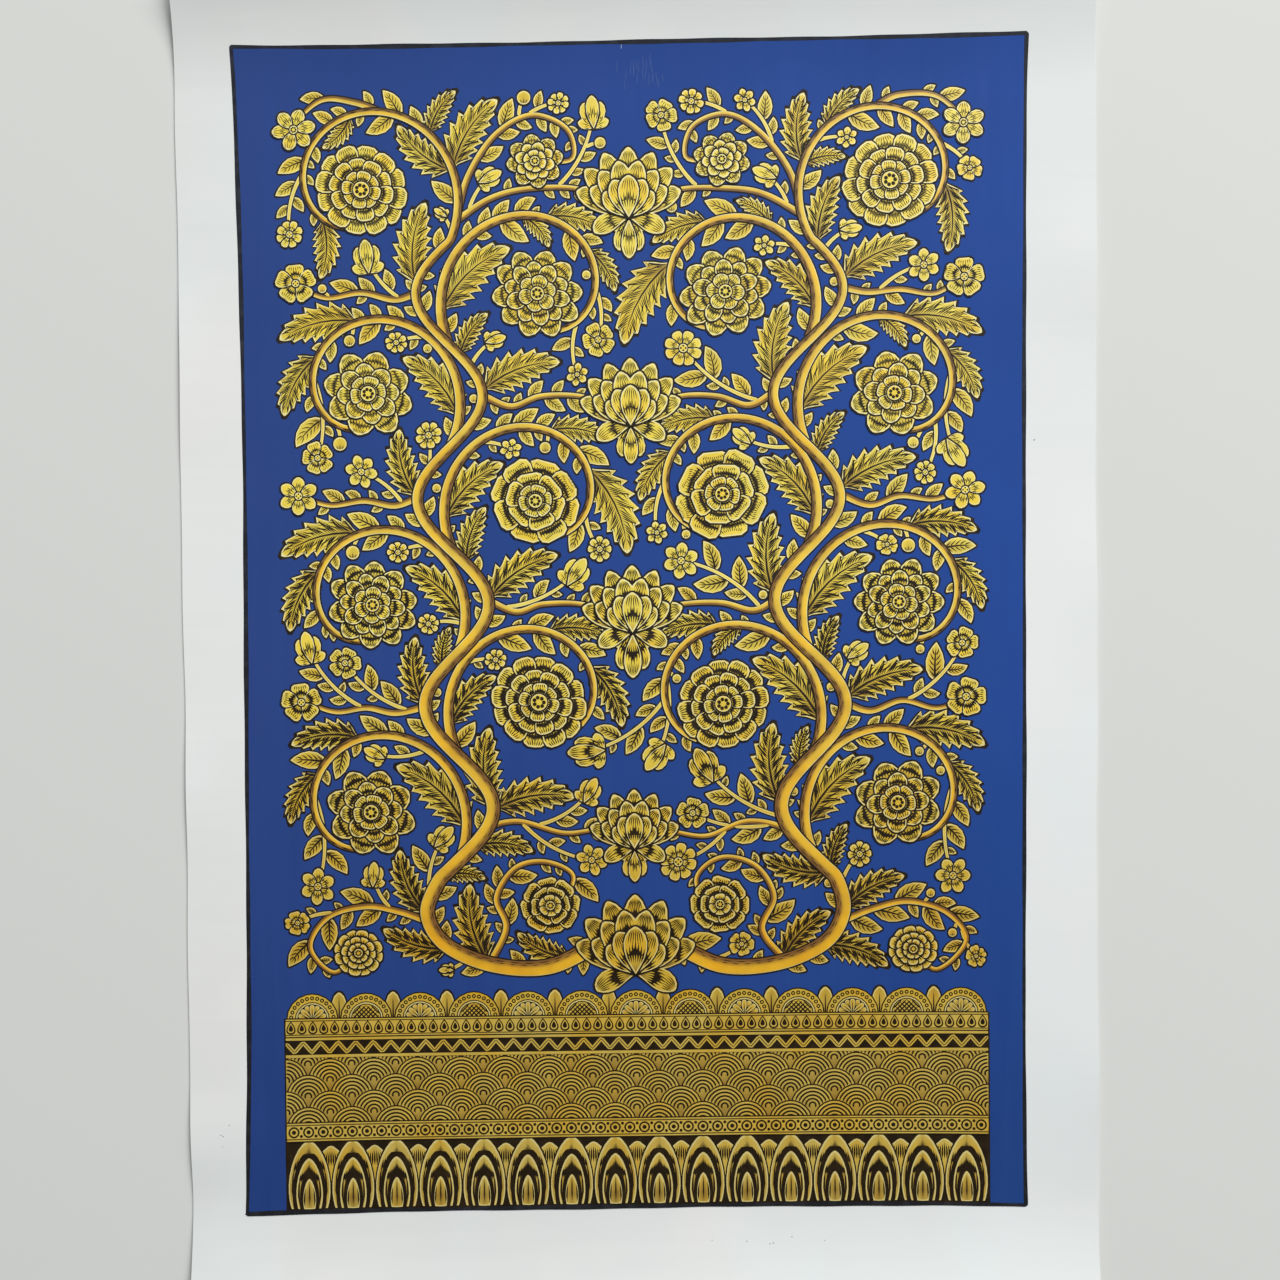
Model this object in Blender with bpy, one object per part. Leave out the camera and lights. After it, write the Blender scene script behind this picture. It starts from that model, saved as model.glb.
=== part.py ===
"""A painted cotton cloth, laid face up.

One piece of primed cotton, cut to a rectangle. The middle holds the painted field, and a plain
margin is left round it, a little wider at the right than at the left. The cloth has been rolled,
so its ends curl up and its margins ripple, while the rest lies flat on the surface. Metres, +Z
up, +Y towards the top of the painting.
The origin is the middle of the cloth's outline, on the surface that it lies on.
"""

import bpy
import numpy as np

FIELD_WIDTH = 0.305
FIELD_HEIGHT = 0.453
LEFT_MARGIN = 0.022
RIGHT_MARGIN = 0.027
END_MARGIN = 0.032
CLOTH_THICKNESS = 0.0012

CLOTH_WIDTH = FIELD_WIDTH + LEFT_MARGIN + RIGHT_MARGIN
CLOTH_HEIGHT = FIELD_HEIGHT + 2 * END_MARGIN

CUT_WANDER = 0.0004
CUT_WAVELENGTH = 0.170

COLUMNS = 44
ROWS = 60

# The ends that curl up: which end of the cloth, how far in the curl reaches, how high its edge
# stands at the left and at the right.
CURLS = [
    {"end": "top", "reach": 0.052, "left": 0.0085, "right": 0.0065},
    {"end": "bottom", "reach": 0.040, "left": 0.0036, "right": 0.0046},
]

# The ripples across a side margin: which side, the height up the cloth of the ripple's crest,
# half its width there, how far it runs in from the edge, and how high it stands at the edge.
RIPPLES = [
    {"side": "left", "crest": -0.199, "half_width": 0.028, "run": 0.060, "rise": 0.0013},
    {"side": "left", "crest": -0.060, "half_width": 0.040, "run": 0.040, "rise": 0.0008},
    {"side": "left", "crest": 0.098, "half_width": 0.046, "run": 0.046, "rise": 0.0010},
    {"side": "right", "crest": 0.137, "half_width": 0.036, "run": 0.052, "rise": 0.0010},
    {"side": "right", "crest": 0.012, "half_width": 0.048, "run": 0.043, "rise": 0.0007},
    {"side": "right", "crest": -0.176, "half_width": 0.044, "run": 0.055, "rise": 0.0009},
]

COTTON_COLOUR = (0.75, 0.76, 0.75, 1.0)
COTTON_ROUGHNESS = 0.85


def bump(distance, reach):
    """One at distance 0, falling as the square of a cosine to nothing at reach and beyond."""
    return np.cos(np.clip(np.abs(distance) / reach, 0, 1) * np.pi / 2) ** 2


def curl_height(x, y, curl):
    """The edge's height, straight from its left value to its right one, times the square of the
    share of the reach that is left, counted from the curl's root."""
    outward = y if curl["end"] == "top" else -y
    share = np.clip(1 - (CLOTH_HEIGHT / 2 - outward) / curl["reach"], 0, None)
    across = x / CLOTH_WIDTH + 0.5
    return (curl["left"] + (curl["right"] - curl["left"]) * across) * share**2


def ripple_height(x, y, ripple):
    """The rise times a bump along the edge, times the square of the share of the run that is
    left, counted from the ripple's inner end."""
    outward = x if ripple["side"] == "right" else -x
    share = np.clip(1 - (CLOTH_WIDTH / 2 - outward) / ripple["run"], 0, None)
    return ripple["rise"] * bump(y - ripple["crest"], ripple["half_width"]) * share**2


def lift(x, y):
    """How far the underside stands off the surface: the sum of all curls and ripples."""
    curls = sum(curl_height(x, y, curl) for curl in CURLS)
    ripples = sum(ripple_height(x, y, ripple) for ripple in RIPPLES)
    return curls + ripples


def cut_line(along, phase):
    """How far the scissors strayed outwards, a slow sine with a faster one on it."""
    turn = 2 * np.pi * along / CUT_WAVELENGTH + phase
    return CUT_WANDER * (0.7 * np.sin(turn) + 0.3 * np.sin(2.7 * turn))


def cloth_points():
    """The underside's grid: even columns and rows, stretched to the cut lines, with its lift."""
    across, up = np.meshgrid(np.linspace(-1, 1, COLUMNS + 1), np.linspace(-1, 1, ROWS + 1))
    x = across * CLOTH_WIDTH / 2
    y = up * CLOTH_HEIGHT / 2
    wide = x + across * np.where(across < 0, cut_line(y, 0.4), cut_line(y, 2.1))
    high = y + up * np.where(up < 0, cut_line(x, 4.4), cut_line(x, 5.3))
    points = np.stack([wide, high, lift(x, y)], axis=-1).reshape(-1, 3)
    middle = (points.min(axis=0) + points.max(axis=0)) / 2
    points[:, :2] -= middle[:2]
    return points


def grid_faces(columns, rows):
    """The quads of a grid whose points run along each row in turn."""
    corner = np.arange(rows)[:, None] * (columns + 1) + np.arange(columns)
    steps = np.array([0, 1, columns + 2, columns + 1])
    return (corner[:, :, None] + steps).reshape(-1, 4)


def cotton_material():
    """Off-white primed cotton, matt."""
    material = bpy.data.materials.new("primed_cotton")
    material.use_nodes = True
    shader = material.node_tree.nodes["Principled BSDF"]
    shader.inputs["Base Color"].default_value = COTTON_COLOUR
    shader.inputs["Roughness"].default_value = COTTON_ROUGHNESS
    shader.inputs["Metallic"].default_value = 0.0
    return material


def make_cloth():
    """The cloth's underside as a grid, thickened upwards."""
    mesh = bpy.data.meshes.new("cloth")
    mesh.from_pydata(cloth_points().tolist(), [], grid_faces(COLUMNS, ROWS).tolist())
    mesh.update()
    mesh.materials.append(cotton_material())
    cloth = bpy.data.objects.new("cloth", mesh)
    bpy.context.scene.collection.objects.link(cloth)
    thicken = cloth.modifiers.new("thickness", "SOLIDIFY")
    thicken.thickness = CLOTH_THICKNESS
    thicken.offset = 1.0
    return cloth


def main():
    for old in list(bpy.data.objects):
        bpy.data.objects.remove(old)
    make_cloth()


main()
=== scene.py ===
"""The looks of a painted cotton cloth, laid face up: primed cotton, a blue ground with a ruled black
edge, and a scrolling design drawn on it in gold with fine black brush lines.

Lengths are in metres. +Y runs to the top of the painting and +Z out of its painted face.
"""

import itertools
import math
from collections import namedtuple

import bpy
import numpy as np
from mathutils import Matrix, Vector


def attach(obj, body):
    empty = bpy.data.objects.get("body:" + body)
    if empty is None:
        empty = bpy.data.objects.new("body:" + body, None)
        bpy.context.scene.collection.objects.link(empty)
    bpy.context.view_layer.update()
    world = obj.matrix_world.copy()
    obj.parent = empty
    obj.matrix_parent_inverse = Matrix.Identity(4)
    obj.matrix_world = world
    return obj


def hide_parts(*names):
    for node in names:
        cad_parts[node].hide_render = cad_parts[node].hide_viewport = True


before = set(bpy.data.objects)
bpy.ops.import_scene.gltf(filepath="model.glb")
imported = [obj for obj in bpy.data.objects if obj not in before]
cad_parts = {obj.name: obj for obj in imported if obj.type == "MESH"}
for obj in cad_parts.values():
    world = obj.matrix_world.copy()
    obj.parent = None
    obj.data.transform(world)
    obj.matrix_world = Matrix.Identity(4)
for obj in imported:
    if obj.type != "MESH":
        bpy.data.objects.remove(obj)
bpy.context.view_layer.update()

MM = 0.001

# The view
# The cloth is seen from almost straight above, as it lies on a plain pale surface. The camera
# stands a little to the right of the middle, and leans and rolls by less than a degree.

VIEW_ANGLE = math.radians(60)
CAMERA_PLACE = (2.4 * MM, 2.7 * MM, 430.7 * MM)
CAMERA_LEAN = (math.radians(-0.888), math.radians(0.268), math.radians(-0.522))
NEAREST_SEEN = 10 * MM
FLOOR_SIZE = 12.0
FLOOR_DROP = 0.1 * MM
FLOOR_COLOUR = (0.695, 0.708, 0.692, 1.0)
FLOOR_ROUGHNESS = 0.9
SKY_COLOUR = (0.96, 0.985, 1.0, 1.0)
SKY_STRENGTH = 0.235
WINDOW_PLACE = (2.4, 3.7, 3.1)
WINDOW_SIZE = 3.0
WINDOW_POWER = 392.0
WINDOW_COLOUR = (1.0, 0.99, 0.97)


def aim(place, target):
    """The turn that points an object's -Z from its place to its target, with +Y kept up."""
    return (Vector(target) - Vector(place)).to_track_quat("-Z", "Y").to_euler()


def set_view():
    """The camera, an even pale sky, and one wide soft window beyond the cloth's top end."""
    camera = bpy.data.objects.new("camera", bpy.data.cameras.new("camera"))
    camera.data.angle = VIEW_ANGLE
    camera.data.clip_start = NEAREST_SEEN
    camera.location = CAMERA_PLACE
    camera.rotation_euler = CAMERA_LEAN
    bpy.context.scene.collection.objects.link(camera)
    bpy.context.scene.camera = camera

    window = bpy.data.objects.new("window", bpy.data.lights.new("window", "AREA"))
    window.data.size = WINDOW_SIZE
    window.data.energy = WINDOW_POWER
    window.data.color = WINDOW_COLOUR
    window.location = WINDOW_PLACE
    window.rotation_euler = aim(WINDOW_PLACE, (0, 0, 0))
    bpy.context.scene.collection.objects.link(window)

    sky = bpy.data.worlds.new("sky")
    sky.use_nodes = True
    background = sky.node_tree.nodes["Background"]
    background.inputs["Color"].default_value = SKY_COLOUR
    background.inputs["Strength"].default_value = SKY_STRENGTH
    bpy.context.scene.world = sky
    bpy.context.scene.view_settings.view_transform = "Standard"


def lay_floor():
    """A flat sheet a hair under the cloth."""
    half = FLOOR_SIZE / 2
    places = [(-half, -half), (half, -half), (half, half), (-half, half)]
    mesh = bpy.data.meshes.new("floor")
    mesh.from_pydata([(x, y, -FLOOR_DROP) for x, y in places], [], [(0, 1, 2, 3)])
    paint = bpy.data.materials.new("floor_paint")
    paint.use_nodes = True
    shader = paint.node_tree.nodes["Principled BSDF"]
    shader.inputs["Base Color"].default_value = FLOOR_COLOUR
    shader.inputs["Roughness"].default_value = FLOOR_ROUGHNESS
    mesh.materials.append(paint)
    floor = bpy.data.objects.new("floor", mesh)
    bpy.context.scene.collection.objects.link(floor)


set_view()
lay_floor()

# The cotton
# One piece of plain-weave cotton, primed white on its face and cut to a rectangle. It has been
# rolled, so its ends curl up and its margins ripple, and elsewhere it lies flat. What is painted
# on it has its middle at FIELD_X, since the right margin is a little wider than the left.

FIELD_WIDTH = 305 * MM
FIELD_HEIGHT = 453 * MM
LEFT_MARGIN = 22 * MM
RIGHT_MARGIN = 27 * MM
END_MARGIN = 32 * MM
COTTON_WIDTH = FIELD_WIDTH + LEFT_MARGIN + RIGHT_MARGIN
COTTON_HEIGHT = FIELD_HEIGHT + 2 * END_MARGIN
FIELD_X = (LEFT_MARGIN - RIGHT_MARGIN) / 2
COTTON_THICKNESS = 0.6 * MM
COTTON_GRID = (104, 146)
# How far the scissors strayed from a straight cut, over what length, and where each stray starts.
CUT_WANDER = 0.4 * MM
CUT_WAVELENGTH = 170 * MM
CUT_PHASES = {"left": 0.4, "right": 2.1, "bottom": 4.4, "top": 5.3}

# Which end curls, how far in it starts, and how high its edge stands at the left and the right.
CURLS = [
    {"end": "top", "reach": 52 * MM, "left": 8.5 * MM, "right": 6.5 * MM},
    {"end": "bottom", "reach": 40 * MM, "left": 3.6 * MM, "right": 4.6 * MM},
]
# Which side ripples, the crest's height up the cloth, its half width, its run in, and its rise.
RIPPLES = [
    {"side": "left", "crest": -199 * MM, "half_width": 28 * MM, "run": 60 * MM, "rise": 1.3 * MM},
    {"side": "left", "crest": -60 * MM, "half_width": 40 * MM, "run": 40 * MM, "rise": 0.8 * MM},
    {"side": "left", "crest": 98 * MM, "half_width": 46 * MM, "run": 46 * MM, "rise": 1.0 * MM},
    {"side": "right", "crest": 137 * MM, "half_width": 36 * MM, "run": 52 * MM, "rise": 1.0 * MM},
    {"side": "right", "crest": 12 * MM, "half_width": 48 * MM, "run": 43 * MM, "rise": 0.7 * MM},
    {"side": "right", "crest": -176 * MM, "half_width": 44 * MM, "run": 55 * MM, "rise": 0.9 * MM},
]
# How far the cotton lifts between its curls and ripples.
UNEVENNESS = 0.10 * MM


def curl_height(x, y, curl):
    """The edge's height, straight from its left value to its right one, times the square of the
    share of the reach that is left, counted from the curl's root."""
    outward = y if curl["end"] == "top" else -y
    share = np.clip(1 - (COTTON_HEIGHT / 2 - outward) / curl["reach"], 0, None)
    return (curl["left"] + (curl["right"] - curl["left"]) * (x / COTTON_WIDTH + 0.5)) * share**2


def ripple_height(x, y, ripple):
    """The rise times a squared cosine about the crest, times the square of the share of the run
    that is left, counted from the ripple's inner end."""
    outward = x if ripple["side"] == "right" else -x
    share = np.clip(1 - (COTTON_WIDTH / 2 - outward) / ripple["run"], 0, None)
    off_crest = np.clip(np.abs(y - ripple["crest"]) / ripple["half_width"], 0, 1)
    return ripple["rise"] * np.cos(off_crest * np.pi / 2) ** 2 * share**2


def lift(x, y):
    """How far the cotton stands off the surface: a slight unevenness, which is a product of two
    slow sines, and the curls and ripples."""
    total = UNEVENNESS * (1 + np.sin(61 * x + 23 * y + 1.0) * np.sin(47 * y - 31 * x)) / 2
    for curl in CURLS:
        total = total + curl_height(x, y, curl)
    for ripple in RIPPLES:
        total = total + ripple_height(x, y, ripple)
    return total


def cut_line(along, phase):
    """How far the scissors strayed outwards, a slow sine with a faster one on it."""
    turn = 2 * np.pi * along / CUT_WAVELENGTH + phase
    return CUT_WANDER * (0.7 * np.sin(turn) + 0.3 * np.sin(2.7 * turn))


def slab(x, y, under, over):
    """A closed slab on a grid of places: an upper and a lower skin, joined round the rim.
    x, y, under and over have one value for each row and column."""
    rows, columns = x.shape
    points = np.concatenate([np.stack([x, y, z], -1).reshape(-1, 3) for z in (over, under)])
    top = np.arange(rows * columns).reshape(rows, columns)
    quads = np.stack([top[:-1, :-1], top[:-1, 1:], top[1:, 1:], top[1:, :-1]], -1).reshape(-1, 4)
    under_quads = quads[:, ::-1] + rows * columns
    rim = np.concatenate([top[0, :-1], top[:-1, -1], top[-1, :0:-1], top[:0:-1, 0]])
    ahead = np.roll(rim, -1)
    walls = np.stack([rim, rim + rows * columns, ahead + rows * columns, ahead], -1)
    quads = np.concatenate([quads, under_quads, walls])
    corners = np.concatenate([quads[:, [0, 1, 2]], quads[:, [0, 2, 3]]])
    return points, corners


# How much of its square a piece's map fills, and the angle past which its edges are sharp.
MAP_SHARE = 0.96
SHARP_ANGLE = math.radians(50)


def make_piece(name, points, corners, material, smooth=False, shade=None, middle=FIELD_X):
    """Put points (n, 3) and triangles (m, 3) into an object that rides on the one body, moved
    across to the painting's middle. Its map is the cloth seen from above. `shade` gives each
    point a darkness for the paint."""
    points = points + np.array([middle, 0, 0])
    mesh = bpy.data.meshes.new(name)
    mesh.vertices.add(len(points))
    mesh.vertices.foreach_set("co", np.asarray(points, np.float32).ravel())
    mesh.loops.add(3 * len(corners))
    mesh.loops.foreach_set("vertex_index", np.asarray(corners, np.int32).ravel())
    mesh.polygons.add(len(corners))
    mesh.polygons.foreach_set("loop_start", np.arange(0, 3 * len(corners), 3, dtype=np.int32))
    mesh.update(calc_edges=True)
    if shade is not None:
        darkness = mesh.attributes.new("shade", "FLOAT", "POINT")
        darkness.data.foreach_set("value", np.asarray(shade, np.float32))
    flat = points[corners.ravel(), :2] / (COTTON_WIDTH, COTTON_HEIGHT) * MAP_SHARE + 0.5
    mesh.uv_layers.new(name="OFBake").data.foreach_set("uv", np.asarray(flat, np.float32).ravel())
    if smooth:
        mesh.shade_smooth()
        mesh.set_sharp_from_angle(angle=SHARP_ANGLE)
    else:
        mesh.shade_flat()
    mesh.materials.append(material)
    piece = bpy.data.objects.new(name, mesh)
    bpy.context.scene.collection.objects.link(piece)
    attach(piece, "root")
    return piece


class Nodes:
    """A new material's nodes, added and joined in one line each."""

    def __init__(self, name):
        """A new material with its shader, and each place on the object as its coordinates."""
        self.material = bpy.data.materials.new(name)
        self.material.use_nodes = True
        self.tree = self.material.node_tree
        self.shader = self.tree.nodes["Principled BSDF"]
        self.place = self.add("ShaderNodeTexCoord").outputs["Object"]

    def add(self, kind, links=None, **settings):
        """A node of a kind with its settings. `links` names inputs and what feeds them, which is
        an output or a plain value."""
        node = self.tree.nodes.new(kind)
        for key, value in settings.items():
            setattr(node, key, value)
        for key, value in (links or {}).items():
            if hasattr(value, "links"):
                self.tree.links.new(value, node.inputs[key])
            else:
                node.inputs[key].default_value = value
        return node

    def feed(self, socket, output):
        """Join an output to one of the shader's own sockets."""
        self.tree.links.new(output, self.shader.inputs[socket])

    def along(self, axis):
        """How far along an axis a place on the object is."""
        return self.add("ShaderNodeSeparateXYZ", {"Vector": self.place}).outputs[axis]

    def noise(self, scale, detail=3.0, stretch=(1, 1, 1)):
        """Cloudy noise, from 0 to 1, on places times a factor for each axis."""
        places = self.add("ShaderNodeMapping", {"Vector": self.place, "Scale": stretch}).outputs["Vector"]
        links = {"Vector": places, "Scale": scale, "Detail": detail}
        return self.add("ShaderNodeTexNoise", links).outputs["Fac"]

    def spread(self, value, low, high, start=0.0, end=1.0):
        """A value carried from the range low..high to start..end, and held there."""
        links = {"Value": value, "From Min": low, "From Max": high, "To Min": start, "To Max": end}
        return self.add("ShaderNodeMapRange", links).outputs["Result"]

    def sum(self, *values):
        """The values added up."""
        total = values[0]
        for value in values[1:]:
            total = self.add("ShaderNodeMath", {0: total, 1: value}, operation="ADD").outputs[0]
        return total

    def times(self, a, b):
        """One value times another."""
        return self.add("ShaderNodeMath", {0: a, 1: b}, operation="MULTIPLY").outputs[0]

    def blend(self, share, first, second):
        """A colour between two others, which go into the colour sockets, 6 and 7."""
        links = {"Factor": share, 6: first, 7: second}
        return self.add("ShaderNodeMix", links, data_type="RGBA").outputs[2]

    def tint(self, colour, factors):
        """A colour with each of its channels times its own factor."""
        return self.add("ShaderNodeVectorMath", {0: colour, 1: factors}, operation="MULTIPLY").outputs[0]

    def weave(self, pitch):
        """The height of a plain weave, one thread over and one under: the product of a sine
        along and a sine across, each with a period of two threads."""
        waves = []
        for axis in ("X", "Y"):
            turned = self.times(self.along(axis), math.pi / pitch)
            waves.append(self.add("ShaderNodeMath", {0: turned}, operation="SINE").outputs[0])
        return self.times(*waves)

    def bump(self, height, distance):
        """Raise the surface by a height of 0 to 1 times a distance."""
        node = self.add("ShaderNodeBump", {"Height": height, "Distance": distance, "Strength": 1.0})
        self.feed("Normal", node.outputs["Normal"])


# How far apart the threads are, and how deep the bump of weave and priming is.
THREAD_PITCH = 0.42 * MM
COTTON_BUMP = 0.012 * MM
# The priming's darker and lighter tone, in the middle of the cloth and at its ends, where it is greyer
# as painted shade of the curled ends, the colours of its warm and cool patches, and what the whole
# leans to at the right.
MIDDLE_TONES = [(0.806, 0.824, 0.818, 1), (0.851, 0.864, 0.857, 1)]
END_SHADED_TONES = [(0.724, 0.745, 0.739, 1), (0.769, 0.785, 0.778, 1)]
WARM_PATCH = (0.85, 0.825, 0.81, 1)
COOL_PATCH = (0.76, 0.83, 0.84, 1)
RIGHT_LEAN = (0.80, 0.85, 0.88, 1)


def cotton_material():
    """Cotton with its priming: cloudy patches, some warmer and some cooler, faint strokes of the
    priming brush, greyer to the ends as painted shade where they curl up, a little cooler to the
    right, and the weave as a bump."""
    n = Nodes("primed_cotton")
    out = n.add("ShaderNodeMath", {0: n.along("Y")}, operation="ABSOLUTE").outputs[0]
    clouds = n.spread(n.noise(9.0, 4.0), 0.35, 0.68)
    strokes = n.spread(n.noise(60.0, 3.0, (0.25, 3.0, 1)), 0.3, 0.75)
    tone = n.sum(n.times(clouds, 0.6), n.times(strokes, 0.4))
    # Painted shade: the tones turn greyer towards both curled ends.
    shade_to_ends = n.spread(out, 0.05 * COTTON_HEIGHT, 0.44 * COTTON_HEIGHT)
    body = n.blend(shade_to_ends, n.blend(tone, *MIDDLE_TONES), n.blend(tone, *END_SHADED_TONES))
    warm = n.spread(n.noise(17.0, 2.0), 0.5, 0.75, 0.0, 0.45)
    cool = n.spread(n.noise(13.0, 2.0, (1.3, 0.8, 1)), 0.5, 0.75, 0.0, 0.5)
    patched = n.blend(cool, n.blend(warm, body, WARM_PATCH), COOL_PATCH)
    to_right = n.spread(n.along("X"), -0.2 * COTTON_WIDTH, 0.5 * COTTON_WIDTH, 0.0, 0.3)
    n.feed("Base Color", n.blend(to_right, patched, RIGHT_LEAN))
    n.feed("Roughness", n.spread(n.noise(30.0), 0.3, 0.7, 0.78, 0.92))
    n.shader.inputs["Specular IOR Level"].default_value = 0.25
    n.bump(n.sum(n.times(n.weave(THREAD_PITCH), 0.5), n.times(strokes, 0.4)), COTTON_BUMP)
    return n.material


def cotton_places():
    """A grid over the cloth, stretched to its cut lines and centred on its outline."""
    columns, rows = COTTON_GRID
    across, up = np.meshgrid(np.linspace(-1, 1, columns + 1), np.linspace(-1, 1, rows + 1))
    x = across * COTTON_WIDTH / 2
    y = up * COTTON_HEIGHT / 2
    left, right = (cut_line(y, CUT_PHASES[side]) for side in ("left", "right"))
    bottom, top = (cut_line(x, CUT_PHASES[side]) for side in ("bottom", "top"))
    wide = x + across * np.where(across < 0, left, right)
    high = y + up * np.where(up < 0, bottom, top)
    return wide - (wide.min() + wide.max()) / 2, high - (high.min() + high.max()) / 2


def make_cotton():
    """The cotton itself, in place of the one solid."""
    x, y = cotton_places()
    under = lift(x, y)
    points, corners = slab(x, y, under, under + COTTON_THICKNESS)
    primed = cotton_material()
    cotton = make_piece("painted_cotton", points, corners, primed, smooth=True, middle=0)
    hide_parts("cloth")
    return cotton


cotton = make_cotton()

# The blue ground
# A film of opaque blue pigment in gum, brushed on in two coats inside a ruled rectangle. The
# rectangle is a little out of square, and its lines bow slightly.

GROUND_GRID = (100, 148)
# How high the film's two faces lie above the cotton, or in it.
GROUND_BASE = 0.005 * MM
GROUND_TOP = 0.04 * MM
# How far the field's top leans to the right, how much higher its right side stands, and how far
# its lines waver.
FIELD_LEAN = 0.64 * MM
FIELD_SLOPE = 0.95 * MM
LINE_BOW = 0.35 * MM
# How far each side of the field bows in, and how much more at its right or upper end than in the
# middle.
INWARD = {
    "left": (2.0 * MM, -0.35 * MM),
    "right": (1.0 * MM, 0.1 * MM),
    "top": (0.9 * MM, 0.35 * MM),
    "bottom": (1.2 * MM, -0.45 * MM),
}
# The blue at the left and at the right, up the field and at its foot, and what streaks and clouds
# it. The upper blues, lightest to the right, are partly painted sheen and partly the paint's own tone.
UPPER_BLUES_WITH_SHEEN = [(0.0270, 0.062, 0.245, 1), (0.0155, 0.068, 0.335, 1)]
LOWER_BLUES = [(0.0150, 0.045, 0.203, 1), (0.0110, 0.049, 0.217, 1)]
STREAK_BLUE = (0.030, 0.085, 0.300, 1)
CLOUD_BLUE = (0.012, 0.048, 0.200, 1)
BLUE_BUMP = 0.010 * MM


def over_cotton(x, y, height):
    """The height above the surface of paint that stands so high above the cotton, at a place
    given from the painting's middle."""
    return lift(x + FIELD_X, y) + COTTON_THICKNESS + height


def drawn_in(side, along):
    """How far in a side's line runs, at a place from -1 to 1 along it: its bow, times one less the
    place's fourth power, and its tilt times the place."""
    bow, tilt = INWARD[side]
    return bow * (1 - along**4) + tilt * along


def field_place(u, v):
    """A place in the field, u and v from -1 to 1. The top leans right and the right side stands
    high. Each side's line wavers by slow sines, which fade inwards by the cube of how far out a
    place is, and it is drawn in by as much as drawn_in says, in step with how far out a place is."""
    bow_x = LINE_BOW * np.sin(2.4 * v + 0.8) * np.abs(u) ** 3 - LINE_BOW * 0.5 * np.sin(5.3 * v) * u**3
    bow_y = LINE_BOW * np.sin(2.1 * u + 0.3) * np.abs(v) ** 3
    in_x = np.where(u < 0, drawn_in("left", v), drawn_in("right", v)) * u
    in_y = np.where(v < 0, drawn_in("bottom", u), drawn_in("top", u)) * v
    x = u * FIELD_WIDTH / 2 + FIELD_LEAN * v + bow_x - in_x
    y = v * FIELD_HEIGHT / 2 + FIELD_SLOPE * u + bow_y - in_y
    return x, y


def blue_material():
    """Deep blue, darker to the foot and brighter to the right, partly as a painted sheen and partly
    as the paint's own tone, with faint brush strokes up and down, thin spots where the weave shows,
    and a dull sheen."""
    n = Nodes("blue_paint")
    to_right = n.spread(n.along("X"), -FIELD_WIDTH / 2, FIELD_WIDTH / 2)
    to_middle = n.spread(n.along("Y"), -FIELD_HEIGHT / 2, 0.0)
    # Painted sheen: the upper blues are lighter, most of all to the right, as well as the paint's tone.
    body = n.blend(to_middle, n.blend(to_right, *LOWER_BLUES), n.blend(to_right, *UPPER_BLUES_WITH_SHEEN))
    strokes = n.noise(40.0, 4.0, (4.0, 0.35, 1))
    streaked = n.blend(n.spread(strokes, 0.35, 0.75, 0.0, 0.22), body, STREAK_BLUE)
    n.feed("Base Color", n.blend(n.spread(n.noise(14.0), 0.35, 0.7, 0.0, 0.3), streaked, CLOUD_BLUE))
    n.feed("Roughness", n.spread(strokes, 0.3, 0.7, 0.66, 0.8))
    n.shader.inputs["Specular IOR Level"].default_value = 0.15
    n.bump(n.sum(n.times(n.weave(THREAD_PITCH), 0.4), strokes), BLUE_BUMP)
    return n.material


def make_ground():
    """A thin slab on the field's own grid, whose places field_place gives."""
    columns, rows = GROUND_GRID
    u, v = np.meshgrid(np.linspace(-1, 1, columns + 1), np.linspace(-1, 1, rows + 1))
    x, y = field_place(u, v)
    points, corners = slab(x, y, over_cotton(x, y, GROUND_BASE), over_cotton(x, y, GROUND_TOP))
    return make_piece("blue_ground", points, corners, blue_material(), smooth=True)


ground = make_ground()

# The ruled edge
# A black line ruled round the blue with a brush, whose width wanders. It is laid over the ground's
# edge as every later stroke is laid, as a closed film that is lens-like in section.

# A film's thickness, and how much thicker it is in its middle.
FILM = 0.010 * MM
RELIEF = 0.006 * MM
# A lens with more columns than this has an underside of its own.
WIDE = 6
EDGE_HEIGHT = 0.055 * MM
EDGE_STEPS = 130
# Where each ruled line comes close to its corners, with the corners at -1 and 1.
EDGE_TIP = 0.9985
# The blacks to the foot and to the top of the field, of the fine brush and of the ruling one.
BRUSH_BLACKS = [(0.0165, 0.0100, 0.0040, 1), (0.026, 0.021, 0.016, 1)]
RULED_BLACKS = [(0.0135, 0.0140, 0.017, 1), (0.020, 0.023, 0.031, 1)]
# Between which heights up the cloth the black goes from the one to the other.
BLACK_CHANGES = (-140 * MM, 120 * MM)
BLACK_BUMP = 0.008 * MM


def skin(grid, start, end):
    """The triangles of one side of a lens: a grid of points, with a fan at its first and last tip."""
    a, b, c, d = (part.ravel() for part in (grid[:-1, :-1], grid[1:, :-1], grid[1:, 1:], grid[:-1, 1:]))
    starts, ends = np.full(grid.shape[1] - 1, start), np.full(grid.shape[1] - 1, end)
    return np.concatenate([
        np.stack([a, b, c], -1), np.stack([a, c, d], -1),
        np.stack([starts, grid[0, :-1], grid[0, 1:]], -1),
        np.stack([ends, grid[-1, 1:], grid[-1, :-1]], -1),
    ])


def lens_corners(rows, columns):
    """The triangles of one lens. Its points are the grid's rows in turn, then its two tips. The
    underside joins the two outer columns, and a wide one also has inner points of its own, which
    come last, so that it follows the cotton."""
    grid = np.arange(rows * columns).reshape(rows, columns)
    start, end = rows * columns, rows * columns + 1
    under = grid[:, [0, -1]]
    if columns > WIDE:
        under = grid.copy()
        under[:, 1:-1] = end + 1 + np.arange(rows * (columns - 2)).reshape(rows, -1)
    return np.concatenate([skin(grid, start, end), skin(under, start, end)[:, ::-1]])


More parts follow.
